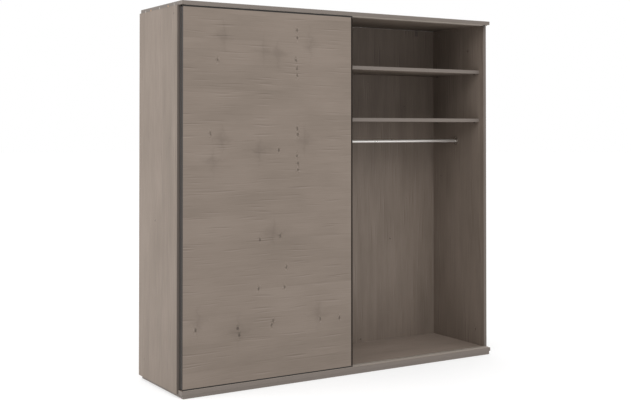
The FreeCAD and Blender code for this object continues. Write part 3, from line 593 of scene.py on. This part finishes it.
@dataclass(frozen=True)
class MouldedPlastic:
    """Injection-moulded plastic or rubber: the tool's spark-eroded texture gives an even, soft gloss."""

    name: str
    colour: str
    roughness: float = 0.5
    grit_mm: float = 0.6
    grit_depth: float = 0.18
    ior: float = 1.5

    def build(self) -> bpy.types.Material:
        """Make the moulded plastic.

        Returns:
            The finished material.
        """
        material, tree = new_material(self.name)
        place = add_node(tree, "TexCoord")
        grit = add_node(
            tree, "TexNoise",
            {"Vector": place.outputs["Object"], "Scale": 1 / (self.grit_mm * MM), "Detail": 2.0},
        )
        cloud = add_node(
            tree, "TexNoise", {"Vector": place.outputs["Object"], "Scale": 14.0, "Detail": 3.0}
        )
        base = linear(self.colour)
        worn = [min(1.0, c * 1.18 + 0.004) for c in base[:3]] + [1.0]
        colour = add_node(tree, "Mix", {0: cloud, 6: base, 7: worn}, data_type="RGBA")
        rough = add_node(
            tree, "MapRange",
            {0: cloud, 1: 0.3, 2: 0.7, 3: self.roughness * 0.9, 4: min(1.0, self.roughness * 1.12)},
        )
        bump = add_node(
            tree, "Bump", {"Height": grit, "Strength": self.grit_depth, "Distance": 0.0001}
        )
        shader = add_node(
            tree, "BsdfPrincipled",
            {"Base Color": colour.outputs[2], "Roughness": rough, "IOR": self.ior,
             "Normal": bump},
        )
        add_node(tree, "OutputMaterial", {0: shader})
        return material


@dataclass(frozen=True)
class TurnedBeech:
    """Fluted beech dowel: warm pale wood with short dark flecks along it."""

    name: str
    pale: str = "#D2AE82"
    fleck: str = "#A97C50"

    def build(self) -> bpy.types.Material:
        """Make the beech.

        Returns:
            The finished material.
        """
        material, tree = new_material(self.name)
        place = add_node(tree, "TexCoord")
        flecks = add_node(
            tree, "TexNoise", {"Vector": place.outputs["Object"], "Scale": 1 / (1.5 * MM), "Detail": 2.0}
        )
        ramp = add_node(tree, "ValToRGB", {0: flecks})
        set_ramp(ramp, ((0.35, self.fleck), (0.6, self.pale)))
        bump = add_node(tree, "Bump", {"Height": flecks, "Strength": 0.2, "Distance": 0.0002})
        shader = add_node(
            tree, "BsdfPrincipled",
            {"Base Color": ramp, "Roughness": 0.6, "Normal": bump},
        )
        add_node(tree, "OutputMaterial", {0: shader})
        return material


# The base board's foil is a little paler: painted light, for the box's floor lit from above.
BASE_PAINTED_LIGHT = {"deep": "#655B52", "low": "#786D63", "middle": "#86796F", "pale": "#94877C"}

# Pin knots and swirled smudges in the door's planks, each from the door board's lower left corner.
DOOR_KNOTS = (
    Mark(718, 1978), Mark(720, 1934), Mark(712, 1804), Mark(718, 1756), Mark(719, 1720), Mark(722, 1410),
    Mark(724, 1377), Mark(719, 1254), Mark(725, 1210), Mark(724, 1171), Mark(208, 1790), Mark(165, 1384),
    Mark(598, 1288), Mark(468, 509), Mark(474, 782), Mark(606, 798), Mark(648, 618), Mark(636, 506),
    Mark(76, 316), Mark(334, 300), Mark(344, 262), Mark(561, 318), Mark(552, 300), Mark(876, 300),
    Mark(1010, 296),
)
DOOR_SMUDGES = (
    Mark(500, 1850), Mark(590, 1842), Mark(810, 1895), Mark(245, 1925), Mark(235, 1345), Mark(470, 1290),
    Mark(770, 1350), Mark(560, 820), Mark(860, 330), Mark(340, 280), Mark(90, 352), Mark(180, 1235),
)


# ---------------------------------------------------------------- modelling


def keep_piece(name: str, shape: Shape, material: bpy.types.Material, body: str, smooth_deg: float = 35.0,
               stands_for: tuple[str, ...] = ()) -> bpy.types.Object:
    """Turn a finished shape into a piece of the wardrobe.

    Args:
        name: Piece name.
        shape: Shape in the row frame, which is freed here.
        material: Its finish.
        body: CAD body that it rides on.
        smooth_deg: Edges turned by less than this are shaded smooth.
        stands_for: CAD nodes that it stands for.

    Returns:
        The new object.
    """
    bmesh.ops.remove_doubles(shape, verts=shape.verts, dist=LOOSE)
    bmesh.ops.recalc_face_normals(shape, faces=shape.faces)
    for face in shape.faces:
        face.smooth = True
    for edge in shape.edges:
        if edge.is_manifold and edge.calc_face_angle() > math.radians(smooth_deg):
            edge.smooth = False
    mesh = bpy.data.meshes.new(name)
    shape.to_mesh(mesh)
    shape.free()
    mesh.materials.append(material)
    piece = bpy.data.objects.new(name, mesh)
    bpy.context.scene.collection.objects.link(piece)
    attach(piece, body)
    if stands_for:
        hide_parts(*stands_for)
    LOG.info("%s: %d faces on %s", name, len(mesh.polygons), body)
    return piece


def turned(profile: Iterable[tuple[float, float]], centre: Vector, axis: Axis, steps: int = 64) -> Shape:
    """Spin a closed or pole-to-pole profile into a round shape.

    Args:
        profile: Radius and place along the axis of each corner, in metres.
        centre: Point on the axis that places are measured from.
        axis: Direction of the axis.
        steps: Number of steps in the full turn.

    Returns:
        The closed round shape.
    """
    shape = bmesh.new()
    sideways = Vector((0, 0, 1)) if axis is not Axis.Z else Vector((1, 0, 0))
    points = [(radius, centre + sideways * radius + axis.value * along) for radius, along in profile]
    verts = [shape.verts.new(point) for _, point in points]
    pairs = list(zip(verts, verts[1:]))
    if min(radius for radius, _ in points) > 1e-7:
        pairs.append((verts[-1], verts[0]))
    edges = [shape.edges.new(pair) for pair in pairs]
    bmesh.ops.spin(
        shape, geom=verts + edges, cent=centre, axis=axis.value, angle=FULL_TURN, steps=steps, use_merge=True,
        use_duplicate=False,
    )
    bmesh.ops.remove_doubles(shape, verts=shape.verts, dist=LOOSE)
    return shape


def drawn(outline: Iterable[tuple[float, float]], low: Vector, length: float, axis: Axis,
          rounding: float = 0.0) -> Shape:
    """Draw a flat outline out along Z or X into a bar.

    Args:
        outline: Corners in order. For Z they are X and Y, for X they are Y and Z, measured from low.
        low: Corner that the outline is measured from.
        length: Length of the bar.
        axis: Axis.Z or Axis.X.
        rounding: Width of the rounding on its long edges.

    Returns:
        The closed bar.
    """
    shape = bmesh.new()
    flat = [Vector((u, v, 0)) if axis is Axis.Z else Vector((0, u, v)) for u, v in outline]
    face = shape.faces.new([shape.verts.new(low + point) for point in flat])
    grown = bmesh.ops.extrude_face_region(shape, geom=[face])
    tops = [g for g in grown["geom"] if isinstance(g, bmesh.types.BMVert)]
    bmesh.ops.translate(shape, verts=tops, vec=axis.value * length)
    bmesh.ops.recalc_face_normals(shape, faces=shape.faces)
    if rounding:
        runs = [(e, (e.verts[1].co - e.verts[0].co).normalized()) for e in shape.edges]
        soft = [edge for edge, run in runs if abs(run.dot(axis.value)) > 0.99]
        bmesh.ops.bevel(
            shape, geom=soft, offset=rounding, segments=2, affect="EDGES", profile=0.5, material=-1,
            clamp_overlap=True,
        )
    return shape


def block(low: Vector, high: Vector, rounding: float) -> Shape:
    """Make a block with all its edges rounded.

    Args:
        low: Lowest corner.
        high: Highest corner.
        rounding: Width of the rounding.

    Returns:
        The closed block.
    """
    shape = bmesh.new()
    size = high - low
    matrix = Matrix.Translation((low + high) / 2) @ Matrix.Diagonal((*size, 1))
    bmesh.ops.create_cube(shape, size=1.0, matrix=matrix)
    bmesh.ops.bevel(
        shape, geom=shape.edges[:], offset=rounding, segments=2, affect="EDGES", profile=0.5, material=-1
    )
    return shape


def islands(node: str, reach: float = 1e-5) -> list[tuple[Vector, Vector]]:
    """Find the separate solids of a CAD node that groups several.

    Args:
        node: Name of the CAD node.
        reach: Distance under which two corners are one.

    Returns:
        Lowest and highest corner of each solid.
    """
    copy = bmesh.new()
    copy.from_mesh(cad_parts[node].data)
    bmesh.ops.remove_doubles(copy, verts=copy.verts, dist=reach)
    left = set(copy.verts)
    boxes = []
    while left:
        queue = [left.pop()]
        corners = []
        while queue:
            vert = queue.pop()
            corners.append(vert.co.copy())
            for edge in vert.link_edges:
                other = edge.other_vert(vert)
                if other in left:
                    left.remove(other)
                    queue.append(other)
        low = Vector(min(c[i] for c in corners) for i in range(3))
        high = Vector(max(c[i] for c in corners) for i in range(3))
        boxes.append((low, high))
    copy.free()
    return sorted(boxes, key=lambda pair: tuple(round(c, 4) for c in pair[0]))


Recipe = WashedPine | BackBoard | DrawnMetal | MouldedPlastic | TurnedBeech


@dataclass
class Workshop:
    """Finishes that the sub-assemblies share, each built once."""

    made: dict[str, bpy.types.Material]

    def finish(self, recipe: Recipe) -> bpy.types.Material:
        """Build a finish the first time it is asked for, and hand out the same one after that."""
        if recipe.name not in self.made:
            self.made[recipe.name] = recipe.build()
        return self.made[recipe.name]

    def dress(self, node: str, recipe: Recipe,
              rounding_mm: float = 0.0) -> None:
        """Give a carried-over CAD node its finish, and soften its edges without touching its mesh.

        Args:
            node: Name of the CAD node.
            recipe: Its finish.
            rounding_mm: Width of the rounding on its sharp edges, or 0 for none.
        """
        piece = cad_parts[node]
        material = self.finish(recipe)
        if not piece.material_slots:
            piece.data.materials.append(material)
        for held in piece.material_slots:
            held.material = material
        if rounding_mm:
            weld = piece.modifiers.new("weld", "WELD")
            weld.merge_threshold = 1e-5
            soft = piece.modifiers.new("rounding", "BEVEL")
            soft.width = rounding_mm * MM
            soft.segments = 2
            soft.limit_method = "ANGLE"
            soft.angle_limit = math.radians(50)
            soft.use_clamp_overlap = True
        LOG.info("%s: dressed as %s", node, recipe.name)


# Anodised aluminium is a dull satin, bronze or taupe. Chrome and zinc shine along their drawn lines.
TAUPE_TRACK = DrawnMetal("taupe_anodised_track", Axis.X, "#A39A91", roughness=0.45, metallic=0.5)
BRONZE_GRIP = DrawnMetal("bronze_anodised_grip", Axis.Z, "#3A322C", roughness=0.4, metallic=0.55)
CHROME_TUBE = DrawnMetal("satin_chromed_tube", Axis.X, "#EAE7E3", roughness=0.3, metallic=0.7, line_depth=1.0,
                         tone=0.03)
CHROME_CUP = DrawnMetal("chrome_plated_cup", Axis.Z, "#CFCBC6", roughness=0.22, line_depth=0.04, tone=0.05)
ZINC_STEEL = DrawnMetal("zinc_plated_steel", Axis.Y, "#B9B9B4", roughness=0.35)
CAST_ZINC = DrawnMetal("die_cast_zinc", Axis.Z, "#8E8E8C", roughness=0.5, line_mm=1.2)
# Moulded plastics, powder coat and rubber are matt, with a fine even grit; the near-black door strips are
# painted shade.
EDGE_ABS = MouldedPlastic("dark_abs_edging", "#241F1C", roughness=0.65, grit_mm=0.8)
CAP_ABS = MouldedPlastic("taupe_abs_cap", "#71665D", roughness=0.6)
BRACKET_COAT = MouldedPlastic("taupe_powder_coat", "#5E554D", roughness=0.6, grit_mm=0.4)
BROWNED_STEEL = DrawnMetal("browned_steel", Axis.X, "#57504A", roughness=0.5)
GREY_PLASTIC = MouldedPlastic("grey_glass_filled_nylon", "#55534F", roughness=0.5)
WHITE_NYLON = MouldedPlastic("white_nylon", "#D9D6CD", roughness=0.4, ior=1.53)
BLACK_RUBBER = MouldedPlastic("black_rubber", "#1C1B1A", roughness=0.75, grit_depth=0.3)
# Painted shade: near-black strips that stand for the shadow in the doors' head and foot gaps.
PAINTED_GAP_SHADE = MouldedPlastic("dark_pile_seal", "#1B1816", roughness=0.95, grit_mm=0.9, grit_depth=0.6)
BEECH = TurnedBeech("turned_beech")


@dataclass
class Carcass:
    """Boards of the standing box: top, base, sides, partition, backs, shelves and plinth."""

    shop: Workshop
    edge_mm: float = 0.6
    glide_pad: float = 2 * MM
    glide_round: float = 0.6 * MM
    glide_chord: float = 0.17 * MM
    nail_radius: float = 1 * MM
    nail_gap: float = 2 * MM
    cap_dome: tuple[tuple[float, float], ...] = (
        (0.0, 0.0), (1.0, 0.0), (1.0, 0.45), (0.93, 0.8), (0.8, 0.97), (0.0, 1.0),
    )

    def build(self) -> None:
        """Dress the boards and add the pieces that sit on them."""
        self._boards()
        self._backs()
        self._fixings()
        self._caps()
        self._glides()

    def _boards(self) -> None:
        """Dress every foiled board, each cut from another part of the foil."""
        flat = ("top_panel", "bottom_panel", "shelf_left_upper", "shelf_left_lower", "shelf_right_upper",
                "shelf_right_lower")
        for n, node in enumerate(flat):
            # Painted light: the base board's foil is paler, as its floor is lit from above.
            painted_light = BASE_PAINTED_LIGHT if node == "bottom_panel" else {}
            recipe = WashedPine(
                f"washed_pine_{node}", Grain.LENGTHWAYS_FLAT, shift_m=(1.7 * n, 0.31 * n, 0.9 * n),
                scattered_knots=0.6, **painted_light,
            )
            self.shop.dress(node, recipe, self.edge_mm)
        for n, node in enumerate(("side_left", "side_right", "centre_partition")):
            recipe = WashedPine(
                f"washed_pine_{node}", Grain.UPRIGHT_ON_SIDE, shift_m=(0.5 * n, 0.4 + 0.7 * n, 1.3 * n),
                plank_mm=178, scattered_knots=0.7, streaks=2.0, streak_mm=36, edging="#5F5853",
            )
            self.shop.dress(node, recipe, self.edge_mm)
        plinth = WashedPine(
            "washed_pine_plinth", Grain.LENGTHWAYS_FLAT, shift_m=(4.1, 0.2, 2.2), scattered_knots=0.3
        )
        for node in sorted(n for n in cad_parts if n.startswith("plinth")):
            self.shop.dress(node, plinth, self.edge_mm)

    def _backs(self) -> None:
        """Dress the two back panels: foil to the inside, bare fibre to the rear."""
        for n, side in enumerate(("left", "right")):
            foil = WashedPine(
                f"foil_{side}", Grain.UPRIGHT_ON_BACK, plank_mm=155, shift_m=(0.2 + 0.6 * n, 0.0, 2.7 * n),
                scattered_knots=0.7, streaks=2.6, streak_mm=42,
            )
            self.shop.dress(f"back_panel_{side}", BackBoard(f"foiled_fibreboard_{side}", foil))

    def _fixings(self) -> None:
        """Dress the fittings that hold the box together."""
        self.shop.dress("bracket_screws", BROWNED_STEEL)
        for node in ("cam_bolts", "rail_cup_screws", "track_screws", "back_panel_nails"):
            self.shop.dress(node, ZINC_STEEL)
        for node in ("wall_bracket_left", "wall_bracket_right"):
            self.shop.dress(node, BRACKET_COAT, 0.4)
        self.shop.dress("cam_discs", CAST_ZINC)
        self.shop.dress("wood_dowels", BEECH)
        self.shop.dress("shelf_pins", BROWNED_STEEL, 0.3)

    def _caps(self) -> None:
        """Model the domed caps over the cam fittings."""
        caps = bmesh.new()
        for low, high in islands("cam_caps"):
            centre = (low + high) / 2
            radius = (high.y - low.y) / 2
            rise = high.x - low.x
            inward = -1 if centre.x > bay_middle(low.x, high.x) else 1
            seat = Vector((high.x if inward < 0 else low.x, centre.y, centre.z))
            dome = turned(
                [(radius * share, inward * rise * height) for share, height in self.cap_dome],
                seat, Axis.X, steps=40,
            )
            merge_into(caps, dome)
        keep_piece("cam_cover_caps", caps, self.shop.finish(CAP_ABS), "carcass", stands_for=("cam_caps",))

    def _glides(self) -> None:
        """Model the round glides under the plinth, each with a soft lower edge."""
        glides = bmesh.new()
        for low, high in islands("floor_glides"):
            centre = Vector(((low.x + high.x) / 2, (low.y + high.y) / 2, low.z))
            radius = (high.x - low.x) / 2
            rise, soft = high.z - low.z, self.glide_round
            chord, pad, nail = self.glide_chord, self.glide_pad, self.nail_radius
            profile = [
                (0.0, 0.0), (radius - soft, 0.0), (radius - chord, chord), (radius, soft), (radius, pad),
                (nail, pad), (nail, rise - self.nail_gap), (0.0, rise),
            ]
            merge_into(glides, turned(profile, centre, Axis.Z, steps=32))
        keep_piece(
            "plinth_glides", glides, self.shop.finish(WHITE_NYLON), "carcass", stands_for=("floor_glides",),
        )


def bay_middle(*places: float) -> float:
    """Middle of the bay that these X places are in."""
    low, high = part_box("clothes_rail_right")
    return math.copysign((low.x + high.x) / 2, sum(places))


def merge_into(target: Shape, source: Shape) -> None:
    """Add a shape to another and free it.

    Args:
        target: Shape that grows.
        source: Shape that is added and freed.
    """
    mesh = bpy.data.meshes.new("merge")
    source.to_mesh(mesh)
    source.free()
    target.from_mesh(mesh)
    bpy.data.meshes.remove(mesh)


@dataclass
class ClothesRails:
    """Chrome tube across each bay with a cup at each end."""

    shop: Workshop
    wall: float = 1.2 * MM
    lip: float = 0.4 * MM

    def build(self) -> None:
        """Model both tubes, and dress their four cups."""
        for bay in ("left", "right"):
            self._tube(bay)
            for end in ("inner", "outer"):
                self.shop.dress(f"rail_cup_{bay}_{end}", CHROME_CUP, 0.5)

    def _tube(self, bay: str) -> None:
        """Model one tube with its bore and soft rims."""
        node = f"clothes_rail_{bay}"
        low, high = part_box(node)
        centre = Vector((low.x, (low.y + high.y) / 2, (low.z + high.z) / 2))
        radius, length = (high.z - low.z) / 2, high.x - low.x
        lip = self.lip
        shape = turned(
            [(radius - self.wall, 0.0), (radius - lip, 0.0), (radius, lip), (radius, length - lip),
             (radius - lip, length), (radius - self.wall, length)], centre, Axis.X, steps=96,
        )
        finish = self.shop.finish(CHROME_TUBE)
        keep_piece(f"{node}_tube", shape, finish, "carcass", stands_for=(node,))


@dataclass
class Tracks:
    """Twin-rib tracks on the base and under the top, with their stops."""

    shop: Workshop

    def build(self) -> None:
        """Dress the two tracks and the rubber stops."""
        for node in ("bottom_track", "top_track"):
            self.shop.dress(node, TAUPE_TRACK, 0.3)
        self.shop.dress("track_end_stops", BLACK_RUBBER, 0.6)


@dataclass
class SlidingDoor:
    """One door: board, dark edging, grip profile, rollers and guides."""

    shop: Workshop
    name: str
    foil_shift: tuple[float, float, float]
    knots: tuple[Mark, ...]
    smudges: tuple[Mark, ...]
    edge_mm: float = 0.8
    grip_wall: float = 1.5 * MM
    grip_lip: float = 2 * MM
    groove_depth: float = 11 * MM
    tongue_depth: float = 6 * MM
    tongue_thick: float = 3 * MM
    shade_strip_clearance: float = 0.2 * MM
    wheel_run: float = 9.7 * MM
    wheel_groove: float = 1.6 * MM
    groove_bevel: float = 0.6 * MM
    wheel_bore: float = 2.05 * MM
    wheel_hub: float = 5 * MM
    wheel_soft: float = 0.4 * MM
    wheel_dish: float = 0.8 * MM

    def build(self) -> None:
        """Dress the board and model what is fixed to it."""
        self._board()
        self._trim()
        self._grip()
        self._painted_gap_shades()
        self._hardware()
        for side in ("left", "right"):
            self._wheel(side)

    def _board(self) -> None:
        """Dress the board: planks lie across the door, one above another."""
        low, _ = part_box(f"{self.name}_panel")
        recipe = WashedPine(
            f"washed_pine_{self.name}", Grain.LENGTHWAYS_UPRIGHT, shift_m=self.foil_shift, knots=self.knots,
            smudges=self.smudges, mark_origin=(low.x, low.z), scattered_knots=0.0 if self.knots else 1.0,
        )
        self.shop.dress(f"{self.name}_panel", recipe, self.edge_mm)

    def _trim(self) -> None:
        """Model the dark edging on the door's left edge."""
        node = f"{self.name}_edge_trim"
        low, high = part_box(node)
        keep_piece(f"{node}_strip", block(low, high, 0.35 * MM), self.shop.finish(EDGE_ABS), self.name,
                   stands_for=(node,))

    def _grip(self) -> None:
        """Model the grip: a channel open to the front, with its tongue in the board's edge."""
        node = f"{self.name}_grip"
        low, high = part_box(node)
        thick = high.y - low.y
        root, outer = self.tongue_depth, high.x - low.x
        tongue_low = (thick - self.tongue_thick) / 2
        tongue_high = (thick + self.tongue_thick) / 2
        outline = [
            (root, 0.0), (root + self.grip_lip, 0.0), (root + self.grip_lip, self.groove_depth),
            (outer - self.grip_wall, self.groove_depth), (outer - self.grip_wall, 0.0), (outer, 0.0),
            (outer, thick), (root, thick), (root, tongue_high), (0.0, tongue_high), (0.0, tongue_low),
            (root, tongue_low),
        ]
        shape = drawn(outline, low, high.z - low.z, Axis.Z, rounding=0.35 * MM)
        keep_piece(f"{node}_profile", shape, self.shop.finish(BRONZE_GRIP), self.name, stands_for=(node,))

    def _painted_gap_shades(self) -> None:
        """Model near-black strips of painted shade along the board's head and foot, in front of the tracks'
        ribs, for the shadow in those gaps.
        """
        low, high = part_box(f"{self.name}_panel")
        left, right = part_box(f"{self.name}_edge_trim")[0].x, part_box(f"{self.name}_grip")[1].x
        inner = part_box(f"{self.name}_guide_left")[0].y - self.shade_strip_clearance
        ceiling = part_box(f"{self.name}_guide_left")[1].z
        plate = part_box("bottom_track")[0].z + (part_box("top_track")[1].z - ceiling)
        for end, bottom, top in (("head", high.z, ceiling), ("foot", plate, low.z)):
            strip = block(Vector((left, low.y, bottom)), Vector((right, inner, top)), 0.4 * MM)
            # Painted shade: each strip stands for the shadow in the gap at the door's head or foot.
            shade_finish = self.shop.finish(PAINTED_GAP_SHADE)
            keep_piece(f"{self.name}_{end}_seal", strip, shade_finish, self.name)

    def _hardware(self) -> None:
        """Dress the housings, guides, axles and screws."""
        for side in ("left", "right"):
            self.shop.dress(f"{self.name}_roller_housing_{side}", GREY_PLASTIC, 0.4)
            self.shop.dress(f"{self.name}_guide_{side}", GREY_PLASTIC, 0.4)
        self.shop.dress(f"{self.name}_axles", ZINC_STEEL)
        self.shop.dress(f"{self.name}_screws", ZINC_STEEL)

    def _wheel(self, side: str) -> None:
        """Model one grooved wheel with a hub, a bored centre and soft rims."""
        node = f"{self.name}_wheel_{side}"
        low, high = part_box(node)
        centre = (low + high) / 2
        rim, half = (high.z - low.z) / 2, (high.y - low.y) / 2
        soft, dished = self.wheel_soft, half - self.wheel_dish
        tread = rim - self.wheel_groove
        right = [
            (self.wheel_bore, half), (self.wheel_hub, half), (self.wheel_hub, dished), (tread, dished),
            (tread, half), (rim - soft, half), (rim, half - soft),
            (rim, self.wheel_groove + self.groove_bevel), (self.wheel_run, self.wheel_groove),
        ]
        profile = right + [(radius, -place) for radius, place in reversed(right)]
        body = f"{self.name.split('_')[0]}_wheel_{side}"
        wheel, nylon = turned(profile, centre, Axis.Y, steps=72), self.shop.finish(WHITE_NYLON)
        keep_piece(f"{node}_turned", wheel, nylon, body, stands_for=(node,))


# ---------------------------------------------------------------- studio


@dataclass(frozen=True)
class Studio:
    """Pale floor, plain white room, soft lamps and the camera."""

    eye: tuple[float, float, float] = (-3.4519, -5.4790, 1.4591)
    turn_deg: float = -31.740
    tilt_deg: float = 90.813
    lens_mm: float = 59.65
    sensor_mm: float = 36.0
    shift_y: float = -0.1357
    room_light: float = 1.0
    floor_glow: float = 0.5

    def build(self) -> None:
        """Set up the floor, the light and the camera."""
        bpy.context.scene.view_settings.view_transform = "Standard"
        self._room()
        self._floor()
        self._lamp("front_softbox", Vector((-0.8, -3.7, 4.9)), Vector((-0.3, 0.0, 1.4)), 3.0, 92.0)
        self._lamp("left_softbox", Vector((-5.5, 1.2, 2.6)), Vector((-1.1, 0.2, 1.1)), 3.0, 120.0)
        self._camera()

    def _room(self) -> None:
        """Fill the room with even white light."""
        world = bpy.data.worlds.new("white_room")
        world.use_nodes = True
        tree = world.node_tree
        tree.nodes.clear()
        glow = add_node(tree, "Background", {0: (1.0, 1.0, 1.0, 1.0), 1: self.room_light})
        add_node(tree, "OutputWorld", {0: glow})
        bpy.context.scene.world = world

    def _floor(self) -> None:
        """Lay a wide pale floor just under the glides."""
        shape = bmesh.new()
        bmesh.ops.create_circle(shape, cap_ends=True, segments=96, radius=60.0)
        mesh = bpy.data.meshes.new("studio_floor")
        shape.to_mesh(mesh)
        shape.free()
        material, tree = new_material("pale_matt_floor")
        shader = add_node(
            tree, "BsdfPrincipled",
            {"Base Color": (0.5, 0.5, 0.5, 1.0), "Roughness": 1.0, "Emission Color": (1.0, 1.0, 1.0, 1.0),
             "Emission Strength": self.floor_glow},
        )
        add_node(tree, "OutputMaterial", {0: shader})
        mesh.materials.append(material)
        floor = bpy.data.objects.new("studio_floor", mesh)
        bpy.context.scene.collection.objects.link(floor)

    def _lamp(self, name: str, place: Vector, target: Vector, size: float, power: float) -> None:
        """Hang one square soft lamp.

        Args:
            name: Lamp name.
            place: Its middle.
            target: Point that it faces.
            size: Length of its side in metres.
            power: Power in watts.
        """
        data = bpy.data.lights.new(name, "AREA")
        data.shape = "SQUARE"
        data.size = size
        data.energy = power
        lamp = bpy.data.objects.new(name, data)
        lamp.location = place
        lamp.rotation_euler = (target - place).to_track_quat("-Z", "Y").to_euler()
        bpy.context.scene.collection.objects.link(lamp)

    def _camera(self) -> None:
        """Stand the camera at the front left, with its view shifted down instead of tilted."""
        data = bpy.data.cameras.new("camera")
        data.lens = self.lens_mm
        data.sensor_width = self.sensor_mm
        data.shift_y = self.shift_y
        data.clip_end = 200.0
        camera = bpy.data.objects.new("camera", data)
        camera.location = self.eye
        camera.rotation_euler = Euler((math.radians(self.tilt_deg), 0.0, math.radians(self.turn_deg)))
        bpy.context.scene.collection.objects.link(camera)
        bpy.context.scene.camera = camera


def main() -> None:
    """Build the wardrobe's looks in order: carcass, rails, tracks, doors, then the studio."""
    logging.basicConfig(level=logging.INFO, format="%(name)s: %(message)s")
    shop = Workshop({})
    Carcass(shop).build()
    ClothesRails(shop).build()
    Tracks(shop).build()
    SlidingDoor(shop, "front_door", (0.0, 0.0, 0.0), DOOR_KNOTS, DOOR_SMUDGES).build()
    SlidingDoor(shop, "rear_door", (3.7, 0.0, 0.42), (), ()).build()
    Studio().build()
    bpy.context.view_layer.update()


if __name__ == "__main__":
    main()
